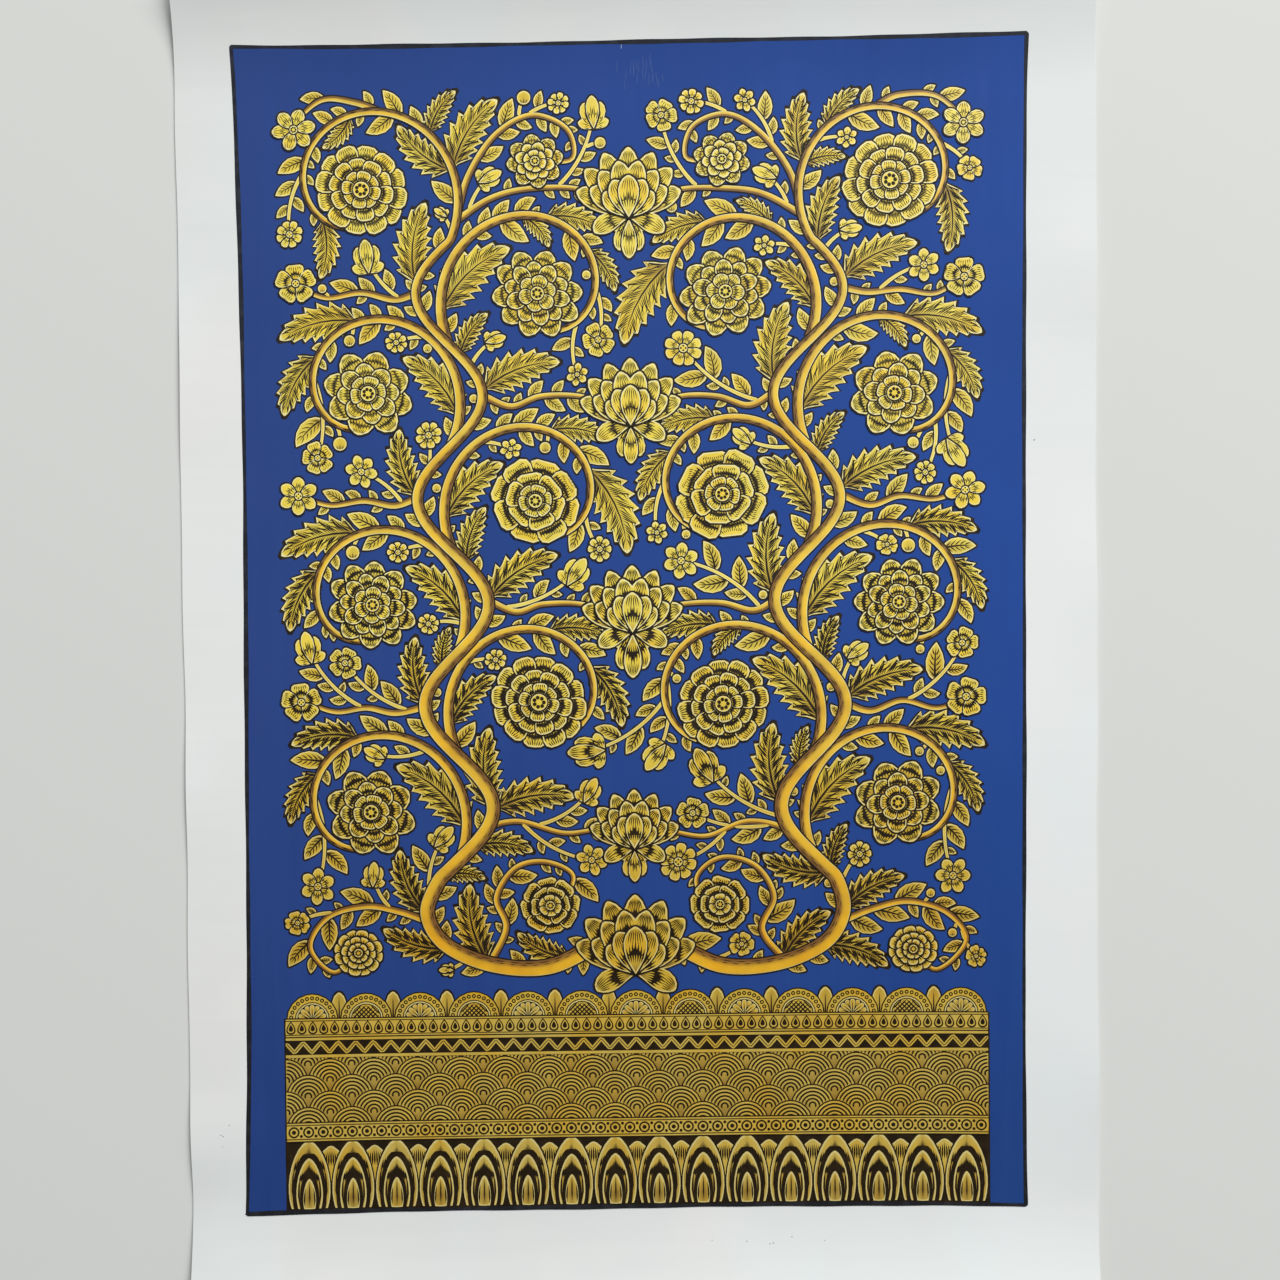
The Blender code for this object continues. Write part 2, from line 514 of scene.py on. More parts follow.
class Coat:
    """One colour of paint: every lens laid with it so far, to be made one piece."""

    def __init__(self, name, material, slot):
        """An empty coat."""
        self.name, self.material, self.slot = name, material, slot
        self.points, self.corners, self.shades, self.size = [], [], [], 0

    def lay(self, grid, tips, height, shade=None):
        """Add lenses. grid is (count, rows, columns, 2), tips (count, 2, 2), and height (count,)
        above the cotton. shade is (rows, columns), or None for clean paint."""
        count, rows, columns = grid.shape[:3]
        inner = grid[:, :, 1:-1] if columns > WIDE else grid[:, :0]
        flat = np.concatenate([grid.reshape(count, -1, 2), tips, inner.reshape(count, -1, 2)], axis=1)
        size = flat.shape[1]
        crown = np.zeros(size)
        crown[:rows * columns] = np.tile(1 - np.linspace(-1, 1, columns) ** 2, rows)
        z = over_cotton(flat[..., 0], flat[..., 1], np.reshape(height, (-1, 1)) + RELIEF * crown)
        self.points.append(np.concatenate([flat, z[..., None]], -1).reshape(-1, 3))
        steps = size * np.arange(count) + self.size
        self.corners.append((lens_corners(rows, columns) + steps[:, None, None]).reshape(-1, 3))
        one = np.zeros(size)
        if shade is not None:
            one[:rows * columns + 2] = np.append(shade.ravel(), [shade[0].mean(), shade[-1].mean()])
        self.shades.append(np.tile(one, count))
        self.size += count * size

    def finish(self):
        """The coat as one piece."""
        points, corners = np.concatenate(self.points), np.concatenate(self.corners)
        shade = np.concatenate(self.shades)
        return make_piece(self.name, points, corners, self.material, shade=shade)


def stroke_grid(paths, half_width, columns=3):
    """Strokes along paths (count, n + 2, 2), whose first and last places are the tips. Each
    place between is spread to both sides, square to the path, by its half width."""
    along = paths[:, 2:] - paths[:, :-2]
    along = along / np.maximum(np.linalg.norm(along, axis=-1, keepdims=True), 1e-9)
    left = np.stack([-along[..., 1], along[..., 0]], -1)
    spread = np.asarray(half_width)[..., None] * np.linspace(-1, 1, columns)
    spread = np.broadcast_to(spread, paths[:, 1:-1].shape[:2] + (columns,))
    grid = paths[:, 1:-1, None] + left[:, :, None] * spread[..., None]
    return grid, paths[:, [0, -1]]


def line_material(name, blacks):
    """Black brush paint, dull, in its colours to the foot and to the top. Where it is thin it is
    half as dark."""
    n = Nodes(name)
    body = n.blend(n.spread(n.along("Y"), *BLACK_CHANGES), *blacks)
    thin = n.spread(n.noise(220.0, 3.0), 0.45, 0.8)
    n.feed("Base Color", n.blend(thin, body, n.tint(body, (2.0, 2.0, 2.0))))
    n.feed("Roughness", n.spread(thin, 0.0, 1.0, 0.6, 0.8))
    n.shader.inputs["Specular IOR Level"].default_value = 0.10
    n.bump(n.times(n.weave(THREAD_PITCH), 0.4), BLACK_BUMP)
    return n.material


BLACK = line_material("black_line", BRUSH_BLACKS)
RULED_BLACK = line_material("ruled_black", RULED_BLACKS)


def rule_edge():
    """Four strokes along the field's sides, each from corner to corner, whose half widths wander
    by a slow sine and a faster one. The lowest lies over the border bands at the foot."""
    coat = Coat("ruled_edge", RULED_BLACK, "black_line")
    along = np.linspace(-1, 1, EDGE_STEPS)
    along[[1, -2]] = -EDGE_TIP, EDGE_TIP
    still = np.ones_like(along)
    sides = [
        {"u": along, "v": still, "half": 0.75 * MM, "phase": 0.4},
        {"u": along, "v": -still, "half": 0.80 * MM, "phase": 2.9, "over": 16 * FILM},
        {"u": -still, "v": along, "half": 0.80 * MM, "phase": 1.7},
        {"u": still, "v": along, "half": 0.70 * MM, "phase": 4.2},
    ]
    for side in sides:
        x, y = field_place(side["u"], side["v"])
        path = np.stack([x, y], -1)[None]
        wander = 0.16 * np.sin(9 * along + side["phase"]) + 0.10 * np.sin(31 * along + 2 * side["phase"])
        half = side["half"] * (1 + wander[1:-1])
        grid, tips = stroke_grid(path, half)
        ends = np.array([path[0, 0] - path[0, 1], path[0, -1] - path[0, -2]])
        ends /= np.linalg.norm(ends, axis=1, keepdims=True)
        coat.lay(grid, tips + side["half"] * ends, EDGE_HEIGHT + side.get("over", 0.0))
    return coat.finish()


edge = rule_edge()

# The scrolling stems
# Two main stems rise in gold from a lotus at the foot, one to each side, and wave up the field. At
# each wave a branch leaves and coils round a blossom. Each stem is a black stroke, with a pale gold
# one inside it and a gold one inside that, shaded brown along one side.

# How high the lowest films of leaves, of sprigs and of stems lie above the cotton.
LEAF_HEIGHT = 0.055 * MM
SPRIG_HEIGHT = LEAF_HEIGHT + 5 * FILM
STEM_HEIGHT = LEAF_HEIGHT + 6 * FILM
# How far the black shows round the pale gold, and the pale gold round the gold, on petals and on
# stems, and the half width of the finest hairs.
OUTLINE = 0.56 * MM
RIM = 0.50 * MM
STEM_RIM = 0.30 * MM
FINE_HAIR = 0.16 * MM

# How the main stems wave: their middle's distance from the painting's, how far they swing out, half
# a wave's length, and the height of one outer crest.
WAVE_MIDDLE = 69 * MM
WAVE_SWING = 13 * MM
WAVE_HALF = 40 * MM
WAVE_CREST = -29 * MM
# How far the inner and the outer column of coils stand from the middle.
INNER_COLUMN = 36 * MM
OUTER_COLUMN = 102 * MM
# How far a hand strays from the plan, and how far apart the places along a path are.
HAND_STRAY = 1.3 * MM
PATH_STEP = 1.5 * MM

Stem = namedtuple("Stem", "path start_half end_half kind number")
numbers = itertools.count(2)
rng = np.random.default_rng(20)

# Between which heights the gold pales up the field, partly as painted glare, and where the foot's
# own gold ends.
GOLD_PALES_WITH_GLARE = (-120 * MM, 20 * MM)
FOOT_GOLD_ENDS = (-150 * MM, -140 * MM)
GOLD_BUMP = 0.010 * MM
# What the gold's colour is multiplied by in its richer and in its greener patches.
RICH_TINT = (1.02, 0.86, 0.35)
GREEN_TINT = (0.92, 1.00, 1.45)


def gold_material(name, colours, rough, richness=0.0):
    """Gold and ochre pigment, paler up the field, partly as a painted glare, and deeper lower down,
    uneven from the brush, richer in some places and greener in others, and browner where the
    painter shaded it."""
    n = Nodes(name)
    # Painted glare: each paint's colours up the field are paler than lower down.
    height = n.spread(n.along("Y"), *GOLD_PALES_WITH_GLARE)
    above_foot = n.spread(n.along("Y"), *FOOT_GOLD_ENDS)
    plain = n.blend(above_foot, colours["foot"], n.blend(height, colours["low"], colours["top"]))
    lean = n.noise(55.0, 2.0)
    rich = n.blend(n.spread(lean, 0.50, 0.62, 0.0, richness), plain, n.tint(plain, RICH_TINT))
    body = n.blend(n.spread(lean, 0.50, 0.38, 0.0, richness), rich, n.tint(plain, GREEN_TINT))
    shaded = n.blend(height, colours["shaded low"], colours["shaded top"])
    shade = n.add("ShaderNodeAttribute", attribute_name="shade").outputs["Fac"]
    patches = n.spread(n.noise(120.0, 4.0), 0.35, 0.75, 0.0, 0.30)
    n.feed("Base Color", n.blend(n.sum(shade, patches), body, shaded))
    n.feed("Roughness", n.spread(n.noise(300.0), 0.3, 0.7, rough - 0.08, rough + 0.08))
    n.shader.inputs["Specular IOR Level"].default_value = 0.4
    n.bump(n.sum(n.times(n.weave(THREAD_PITCH), 0.4), n.noise(500.0, 2.0)), GOLD_BUMP)
    return n.material


# Each paint's top colours are paler than its low ones, partly as painted glare.
GOLD_COLOURS = {
    "top": (0.94, 0.74, 0.085, 1), "low": (0.65, 0.42, 0.032, 1), "foot": (0.60, 0.42, 0.066, 1),
    "shaded top": (0.40, 0.265, 0.040, 1), "shaded low": (0.24, 0.135, 0.016, 1),
}
PALE_COLOURS = {
    "top": (0.95, 0.86, 0.41, 1), "low": (0.70, 0.56, 0.20, 1), "foot": (0.66, 0.55, 0.21, 1),
    "shaded top": (0.70, 0.58, 0.20, 1), "shaded low": (0.44, 0.32, 0.09, 1),
}
STEM_COLOURS = {
    "top": (0.95, 0.64, 0.060, 1), "low": (0.85, 0.46, 0.014, 1), "foot": (0.85, 0.46, 0.014, 1),
    "shaded top": (0.22, 0.110, 0.030, 1), "shaded low": (0.20, 0.088, 0.018, 1),
}
# The light line round a stem is as brown as its body on the shaded side.
STEM_EDGE_COLOURS = {**STEM_COLOURS, **{key: PALE_COLOURS[key] for key in ("top", "low", "foot")}}
GOLD = gold_material("gold_paint", GOLD_COLOURS, 0.48, 0.55)
PALE = gold_material("pale_gold_paint", PALE_COLOURS, 0.5)
STEM_GOLD = gold_material("stem_gold_paint", STEM_COLOURS, 0.48, 0.5)
STEM_PALE = gold_material("stem_pale_paint", STEM_EDGE_COLOURS, 0.5)


def evenly(path, step):
    """The path with its places a step apart along it, by linear interpolation of arc length."""
    lengths = np.append(0, np.cumsum(np.linalg.norm(np.diff(path, axis=0), axis=1)))
    wanted = np.linspace(0, lengths[-1], max(4, int(lengths[-1] / step) + 1))
    return np.stack([np.interp(wanted, lengths, path[:, i]) for i in (0, 1)], -1)


def through(places):
    """A smooth path through a few places: a Catmull-Rom curve, then evened out."""
    p = np.array(places, float)
    p = np.concatenate([[2 * p[0] - p[1]], p, [2 * p[-1] - p[-2]]])
    s = np.linspace(0, 1, 16, endpoint=False)[:, None]
    spans = [0.5 * (2 * b + (c - a) * s + (2 * a - 5 * b + 4 * c - d) * s**2 + (3 * b - a - 3 * c + d) * s**3)
             for a, b, c, d in zip(p[:-3], p[1:-2], p[2:-1], p[3:])]
    return evenly(np.concatenate(spans + [p[-2:-1]]), PATH_STEP)


def wave_x(y, side):
    """The main stem's distance from the middle: a cosine about WAVE_MIDDLE, and a slow small
    one that differs from side to side, as a hand does."""
    stray = HAND_STRAY * np.cos(23 * y + 2 * side)
    return WAVE_MIDDLE + WAVE_SWING * np.cos(np.pi * (y - WAVE_CREST) / WAVE_HALF) + stray


# How many turns a coil makes, how small it ends, and the power by which its radius falls.
COIL_TURNS = 0.92
COIL_END = 9 * MM
COIL_POWER = 0.85
# In millimetres, the lowest coil's height, the step up to the next, and how far under its centre
# each leaves the main stem.
LOWEST_COIL = -69
COIL_STEP = 40
COIL_DROP = 20


def coil_row(number):
    """A coil's centre, the height at which it leaves the main stem, and its way round. The coils
    stand outside and inside the stem in turn."""
    y = LOWEST_COIL + number * COIL_STEP
    column, way = ((OUTER_COLUMN, -1), (INNER_COLUMN, 1))[number % 2]
    return {"x": column, "y": y * MM, "leaves": (y - COIL_DROP) * MM, "way": way}


COILS = [coil_row(number) for number in range(7)]


def coil_middle(number, side):
    """A coil's middle, for the right half, a little out of its place."""
    coil = COILS[number]
    turn = 2.4 * number + 1.3 * side
    return coil["x"] + HAND_STRAY * math.cos(turn), coil["y"] + HAND_STRAY * math.sin(1.7 * turn)


def scroll(number, side):
    """The branch that coils round a coil's middle: its angle grows evenly, and its radius falls
    from the start's to the end's by a power of what is left of the way."""
    coil = COILS[number]
    centre = coil_middle(number, side)
    offset = np.subtract((float(wave_x(coil["leaves"], side)), coil["leaves"]), centre)
    s = np.linspace(0, 1, 160)
    radius = COIL_END + (np.hypot(*offset) - COIL_END) * (1 - s) ** COIL_POWER
    angle = np.arctan2(offset[1], offset[0]) + coil["way"] * 2 * np.pi * COIL_TURNS * s
    return evenly(centre + radius[:, None] * np.stack([np.cos(angle), np.sin(angle)], -1), PATH_STEP)


# The two tracks of hairs along a stem's shaded side: how far out each is, as a share of the half
# width, and how many places long its hairs are.
GRAIN_TRACKS = ((0.72, 3), (0.42, 2))
# The half widths of each kind of stem, at its root and at its end.
STEM_HALVES = {
    "main": (3.0 * MM, 0.9 * MM),
    "coil": (1.9 * MM, 0.9 * MM),
    "twig": (1.25 * MM, 0.7 * MM),
    "stalk": (0.75 * MM, 0.5 * MM),
}
# In millimetres, where the right main stem comes out of the lowest lotus and turns up, and the
# first and last heights of its wave.
STEM_ROOT = [(14, -122), (34, -131), (56, -130), (74, -122), (81, -110)]
WAVE_ENDS = (-98, 148)
# The twigs of the right half, from the main stem outwards, in millimetres: three that reach in to
# the lotuses, three that cross the outer coils, and five round the foot and the top.
TWIGS = [
    [(56, 11), (46, 7), (34, 10.5), (18, 10), (6, 4)],
    [(56, 91), (46, 87), (34, 90.5), (18, 90), (6, 84)],
    [(63, 157), (54, 167), (40, 171), (20, 170), (6, 164)],
    [(82, -29), (92, -31), (104, -29), (117, -31), (128, -27)],
    [(82, 51), (92, 49), (104, 51), (117, 49), (128, 53)],
    [(82, 131), (92, 129), (104, 131), (117, 129), (128, 134)],
    [(77, -98), (62, -80), (46, -75), (28, -79), (14, -78), (5, -80)],
    [(58, -130), (50, -116), (54, -104), (47, -92), (34, -89), (24, -96), (28, -107)],
    [(79, -114), (92, -109), (106, -107), (120, -111), (128, -122), (118, -132), (108, -126)],
    [(62, 158), (62, 176), (52, 191), (38, 199), (24, 194), (22, 182), (34, 181)],
    [(94, 200), (105, 204), (118, 205), (129, 197)],
]


def half_stems(side):
    """The stems of one half, drawn for the right and turned over for the left. The main stem
    runs on into the last coil."""
    coils = [scroll(number, side) for number in range(len(COILS))]
    wave_y = np.linspace(*WAVE_ENDS, 44) * MM
    wave = np.stack([wave_x(wave_y, side), wave_y], -1)
    main = through(np.concatenate([np.array(STEM_ROOT) * MM, wave, coils[-1][::4]]))
    paths = [("main", main)] + [("coil", path) for path in coils[:-1]]
    for row in TWIGS:
        places = (np.array(row) + rng.normal(0, 0.5, (len(row), 2))) * MM
        places[0] = main[np.argmin(np.linalg.norm(main - places[0], axis=1))]
        paths.append(("twig", through(places)))
    return [Stem(path * (side, 1), *STEM_HALVES[kind], kind, next(numbers)) for kind, path in paths]


stems = half_stems(1) + half_stems(-1)


def stem_halves(stem):
    """A stem's half width along its path, tapering evenly."""
    return np.linspace(stem.start_half, stem.end_half, len(stem.path))


def draw_stems():
    """Lay the stems: twigs lowest, then coils, then the two main stems. The brown rises evenly
    from about a stem's middle line to seven tenths of the way to one edge. That is its left edge,
    looking along it, in the right half, and its right edge in the left half."""
    black = Coat("stem_outlines", BLACK, "black_line")
    pale = Coat("stem_edges", STEM_PALE, "gold_paint")
    gold = Coat("stem_bodies", STEM_GOLD, "gold_paint")
    hair = Coat("stem_strokes", BLACK, "black_line")
    order = {"twig": 0, "coil": 1, "main": 2}
    for stem in stems:
        level = STEM_HEIGHT + 4 * FILM * order[stem.kind]
        half = stem_halves(stem)[1:-1]
        layers = [(black, OUTLINE, 3, 0), (pale, 0.0, 3, 1), (gold, -STEM_RIM, 5, 2)]
        for coat, grow, columns, film in layers:
            grid, tips = stroke_grid(stem.path[None], half + grow, columns)
            across = np.linspace(-1, 1, columns) * np.sign(stem.path[:, 0].mean())
            shade = np.tile(np.clip(0.12 + 1.26 * across, 0, 1), (len(half), 1))
            coat.lay(grid, tips, level + film * FILM, None if coat is black else shade)
        if stem.kind != "twig":
            draw_grain(hair, stem, level + 3 * FILM)
    return [coat.finish() for coat in (black, pale, gold, hair)]


def draw_grain(coat, stem, height):
    """Short black hairs along a stem's shaded side, in two tracks, each hair a few places long
    and a place apart from the next."""
    side = np.sign(stem.path[:, 0].mean())
    along = np.gradient(stem.path, axis=0)
    along /= np.linalg.norm(along, axis=1, keepdims=True)
    left = np.stack([-along[:, 1], along[:, 0]], -1)
    wide = stem_halves(stem)[:, None]
    for track, reach in GRAIN_TRACKS:
        starts = np.arange(2, len(stem.path) - reach - 1, reach + 1)
        steps = starts[:, None] + np.arange(reach + 1)
        tracks = stem.path[steps] + side * track * (left * wide)[steps]
        widths = FINE_HAIR * np.ones((len(starts), reach - 1))
        coat.lay(*stroke_grid(tracks, widths), height)


stem_pieces = draw_stems()

# The blossoms
# Each blossom is rings of petals, the outer ring lowest, round a dotted eye. A petal is drawn
# as a stem is, black, pale and gold, and hatched with black hairs that run out from its root and
# in from its tip. Great blossoms sit in the coils, and lotuses seen from the side stand between.

BLOSSOM_HEIGHT = 0.24 * MM
# A hair's half width, how far apart hairs are, and the half width of a blade whose hairs are full
# width. No part of a blade is narrower than LEAST_HALF to each side.
HAIR = 0.27 * MM
HAIR_PITCH = 0.88 * MM
FULL_BLADE = 3.2 * MM
LEAST_HALF = 0.02 * MM
# How much heavier the brush was pressed lower down, from which height, and over what run that grew.
LOW_PRESS = 0.36
PRESS_START = 95 * MM
PRESS_RUN = 120 * MM
# The pale rim and the black outline of a blossom's eye.
EYE_RIM = 0.25 * MM
EYE_OUTLINE = 0.38 * MM
# The half width from which petals are hatched at their tips too.
TIP_HATCHED = 2.6 * MM
# Blossoms, side views and dots under these sizes are drawn with thinner rims or fewer places.
SMALL_BLOSSOM = 8 * MM
SMALL_SIDE_VIEW = 15 * MM
SMALL_DOT = 3 * MM

Blades = namedtuple("Blades", "x y angle length width bend level")
Form = namedtuple("Form", "profile rows lean notch ahead start", defaults=(0.0, 0.0, None, 0.0))
Veins = namedtuple("Veins", "t v half")
Blossom = namedtuple("Blossom", "x y radius kind turn squash squash_turn")


def hump(t, rise, fall):
    """A half width from 0 to 1 and back: t to a power times what is left to another, over its
    greatest value. A fall under a half gives a round end, and one near 1 a point."""
    peak = rise / (rise + fall)
    return (t / peak) ** rise * ((1 - t) / (1 - peak)) ** fall


def close_to_ends(rows):
    """Shares of a blade's length, closer together at its root and tip."""
    return 0.5 - 0.5 * np.cos(np.pi * (np.arange(rows) + 0.7) / (rows + 0.4))


def blade_places(blades, t, v, form, grow=0.0):
    """Places on flat blades, petals and leaves alike. t runs from root to tip and v from the
    right edge, -1, to the left, 1. The spine is an arc that turns by `bend`. The half width is
    the width times the profile, plus `grow`. Places further out lean forward, a notch pulls the
    middle of the tip back, and `ahead` carries the front of each tooth forward as it grows."""
    x, y, angle, length, width, bend = (np.asarray(a, float)[:, None, None] for a in blades[:6])
    bend = np.where(np.abs(bend) < 0.001, 0.001, bend)
    share = 1.3 * grow / length
    s = t + form.lean * np.abs(v) * (1 - t) - form.notch * (1 - v**2) * np.clip((t - 0.75) / 0.25, 0, 1)
    s = s * (1 + 2 * share) - share
    if form.ahead is not None:
        s = s + form.ahead(t) * grow / length * np.abs(v)
    turn = angle + bend * s
    half = np.maximum(width * form.profile(np.clip(t, 0, 1)) + grow, LEAST_HALF) * v
    px = x + length / bend * (np.sin(turn) - np.sin(angle)) - np.sin(turn) * half
    py = y - length / bend * (np.cos(turn) - np.cos(angle)) + np.cos(turn) * half
    return np.stack([px, py], -1)


def rays(count, spread, start, end, fall, half=HAIR, stagger=0.0):
    """Hairs along a petal from start to end, the outer ones shorter by `fall`. Every other one
    starts later and ends sooner by `stagger`."""
    q = np.linspace(0, 1, 4)
    v = np.linspace(-spread, spread, count)[:, None]
    late = stagger * (np.arange(count)[:, None] % 2)
    first, last = start + late, end - fall * np.abs(v) - late
    return Veins(first + (last - first) * q, v * np.ones_like(q), half * np.array([1, 0.8]))


def ribs(count, start, end, reach, curve, half):
    """Veins from a leaf's midrib out to both sides and forward, each thinner as it goes."""
    q = np.linspace(0, 1, 4)
    t = np.linspace(start, end, count)[:, None] + curve * q**1.2
    v = np.tile(0.05 + reach * q, (count, 1))
    return Veins(np.clip(np.tile(t, (2, 1)), 0, 0.985), np.concatenate([v, -v]), half * np.array([1, 0.7]))


def midrib(end, half):
    """One line up the middle, thinner to its tip."""
    q = np.linspace(0.02, end, 7)[None]
    return Veins(q, np.zeros_like(q), half * np.array([1, 1, 0.85, 0.7, 0.5]))


def heaviness(y):
    """How much heavier the brush was pressed lower down: 1 towards the top, and LOW_PRESS more
    from half way down."""
    return 1 + LOW_PRESS * np.clip((PRESS_START - y) / PRESS_RUN, 0, 1)


def draw_blades(coats, blades, form, height, rim, columns=3, veins=(), outline=OUTLINE, shade=None):
    """Draw blades: black, then pale, then gold, then each kind of vein. `rim` and `outline` are how
    far the pale shows round the gold and the black round the pale. `shade` gives the gold's
    darkness at each place."""
    t, v = form.rows[:, None], np.linspace(-1, 1, columns)[None]
    base = height + 4 * FILM * np.asarray(blades.level, float)
    ends = np.array([[form.start], [1.0]])
    for name, grow, film in (("black", outline, 0), ("pale", 0.0, 1), ("gold", -rim, 2)):
        grid = blade_places(blades, t, v, form, grow)
        tips = blade_places(blades, ends, np.zeros((2, 1)), form, grow)[:, :, 0]
        dark = shade(t, v) * np.ones((len(t), columns)) if shade is not None and name == "gold" else None
        coats[name].lay(grid, tips, base + film * FILM, dark)
    fine = np.clip(blades.width / FULL_BLADE, 0.6, 1.0) * heaviness(blades.y) + 0 * base
    for vein in veins:
        wobble = rng.normal(0, 0.007, (len(base), len(vein.t), 1)) * np.linspace(0, 1, vein.t.shape[1])
        lines = blade_places(blades, vein.t + wobble, vein.v, form)
        half = np.repeat(fine, len(vein.t))[:, None] * vein.half
        grid, tips = stroke_grid(lines.reshape(-1, vein.t.shape[1], 2), half)
        coats["hair"].lay(grid, tips, np.repeat(base + 3 * FILM, len(vein.t)))


def new_coats(name, kind=Coat):
    """The four coats that a group of drawn blades is laid with."""
    return {
        "black": kind(name + "_outlines", BLACK, "black_line"),
        "pale": kind(name + "_edges", PALE, "gold_paint"),
        "gold": kind(name + "_bodies", GOLD, "gold_paint"),
        "hair": kind(name + "_hairs", BLACK, "black_line"),
    }


POINTED = Form(lambda t: hump(t, 1.05, 0.66), close_to_ends(7))
ROUND = Form(lambda t: hump(t, 1.0, 0.36), close_to_ends(7))
NOTCHED = Form(lambda t: hump(t, 0.95, 0.33), close_to_ends(7), notch=0.13)
DISC = Form(lambda t: 2 * np.sqrt(np.clip(t * (1 - t), 0, 1)), close_to_ends(9))
DOT = DISC._replace(rows=close_to_ends(5))

# Each kind of blossom: its rings from the outer one in, with how many petals, their form, where
# they start and end, and their half width, as shares of the blossom's radius, and its eye.
BLOSSOMS = {
    "marigold": {
        "eye": 0.17,
        "rings": [(12, ROUND, 0.32, 1.0, 0.25), (10, ROUND, 0.18, 0.70, 0.20),
                  (8, ROUND, 0.06, 0.42, 0.15)],
    },
    "dahlia": {
        "eye": 0.14,
        "rings": [(10, POINTED, 0.20, 1.0, 0.25), (10, POINTED, 0.14, 0.72, 0.19),
                  (6, POINTED, 0.05, 0.42, 0.17)],
    },
    "lotus": {
        "eye": 0.16,
        "rings": [(8, POINTED, 0.12, 1.0, 0.30), (8, POINTED, 0.10, 0.70, 0.22),
                  (6, ROUND, 0.06, 0.40, 0.17)],
    },
    "peony": {
        "eye": 0.15,
        "rings": [(8, NOTCHED, 0.20, 1.0, 0.36), (6, NOTCHED, 0.10, 0.66, 0.31),
                  (6, ROUND, 0.06, 0.38, 0.17)],
    },
    "star": {"eye": 0.18, "rings": [(6, POINTED, 0.08, 1.0, 0.31)]},
    "cherry": {"eye": 0.17, "rings": [(5, NOTCHED, 0.08, 1.0, 0.45)]},
    "daisy": {"eye": 0.22, "rings": [(8, ROUND, 0.15, 1.0, 0.28)]},
}


def uprights(x, y, length, half, level=0.0):
    """Blades that stand straight up at places in a row."""
    x = np.atleast_1d(x).astype(float)
    still = np.zeros_like(x)
    return Blades(x, y + still, np.pi / 2 + still, length + still, half + still, still, level + still)


def discs(x, y, radius, level=0.0):
    """Round dots, as upright blades as wide as they are long."""
    return uprights(x, y - radius, 2 * radius, radius, level)


def dot(coat, x, y, radius, height, form=DOT, part=(-1, 1), foot=0.0, shade=None):
    """Round dots in one coat of paint. `part` keeps the right half, (-1, 0), or the left, (0, 1),
    and `foot` cuts off that share of the dot's height. `shade` gives a darkness for each row."""
    spots = discs(x, y, radius)
    tips = blade_places(spots, np.array([[foot], [1.0]]), np.zeros((2, 1)), form)[:, :, 0]
    rows = foot + (1 - foot) * form.rows[:, None]
    across = np.linspace(*part, 3 if radius < SMALL_DOT else 9)[None]
    dark = None if shade is None else shade(rows) + 0 * across
    coat.lay(blade_places(spots, rows, across, form), tips, height, dark)


def squashed(blossom, along, across):
    """Places given from a blossom's middle, flattened as if it were seen from one side."""
    c, s = math.cos(blossom.squash_turn), math.sin(blossom.squash_turn)
    p, q = along * c + across * s, (across * c - along * s) * blossom.squash
    return p * c - q * s, p * s + q * c


def ring_blades(blossom, count, root, reach, half, phase, level):
    """A ring of petals, every other one a level higher."""
    turn = blossom.turn + 2 * np.pi * (np.arange(count) + phase) / count
    c, s = np.cos(turn), np.sin(turn)
    x0, y0 = squashed(blossom, root * blossom.radius * c, root * blossom.radius * s)
    x1, y1 = squashed(blossom, reach * blossom.radius * c, reach * blossom.radius * s)
    wide = np.hypot(*squashed(blossom, -s, c))
    return Blades(blossom.x + x0, blossom.y + y0, np.arctan2(y1 - y0, x1 - x0), np.hypot(x1 - x0, y1 - y0),
                  half * blossom.radius * wide, rng.normal(0, 0.10, count), level + np.arange(count) % 2)


def petal_hatching(half_width, hidden):
    """Hairs out from where a petal shows, and shorter ones in from its tip, as many as its width
    holds. Its paint is brown where it comes out from under the others."""
    clear = 1 - hidden
    count = max(3, int(1.3 * half_width / HAIR_PITCH) * 2 + 1)
    root = max(0.02, 0.24 - 0.8 * hidden)
    start, end = hidden + 0.9 * root, hidden + 0.76 * clear
    veins = [rays(count, 0.78, start, end, 0.32 * clear, stagger=0.16 * clear)]
    if half_width > TIP_HATCHED:
        veins.append(rays(count // 2 + 1, 0.62, 0.95, 0.95 - 0.36 * clear, -0.04 * clear, 0.6 * HAIR))
    return veins, lambda t, v: np.clip(0.9 - 1.6 * root - 2.8 * (t - hidden) / clear, 0, 1)


def petal_rim(small):
    """How far the pale gold shows round a petal."""
    return RIM * (0.62 if small else 0.85)


def draw_blossom(coats, blossom, height):
    """Lay one blossom's rings and its eye."""
    kind = BLOSSOMS[blossom.kind]
    small = blossom.radius < SMALL_BLOSSOM
    inner = [ring[3] for ring in kind["rings"][1:]] + [kind["eye"]]
    for number, (count, form, root, reach, half) in enumerate(kind["rings"]):
        hidden = max(0.04, (inner[number] * 0.92 - root) / (reach - root))
        blades = ring_blades(blossom, count, root, reach, half, 0.5 * number, 2 * number)
        veins, shade = petal_hatching(half * blossom.radius, hidden)
        draw_blades(coats, blades, form, height, veins=veins, shade=shade,
                    rim=petal_rim(small), outline=OUTLINE * 0.9)
    level = 2 * len(kind["rings"])
    radius = kind["eye"] * blossom.radius
    eye = discs(blossom.x, blossom.y, radius, level)
    draw_blades(coats, eye, DISC, height, rim=EYE_RIM, outline=EYE_OUTLINE)
    dots = 4 if small else 7
    turn = 2 * np.pi * np.arange(dots) / dots
    x, y = squashed(blossom, 0.6 * radius * np.cos(turn), 0.6 * radius * np.sin(turn))
    dot(coats["hair"], blossom.x + x, blossom.y + y, 0.24 * radius, height + 4 * FILM * level + 3 * FILM)


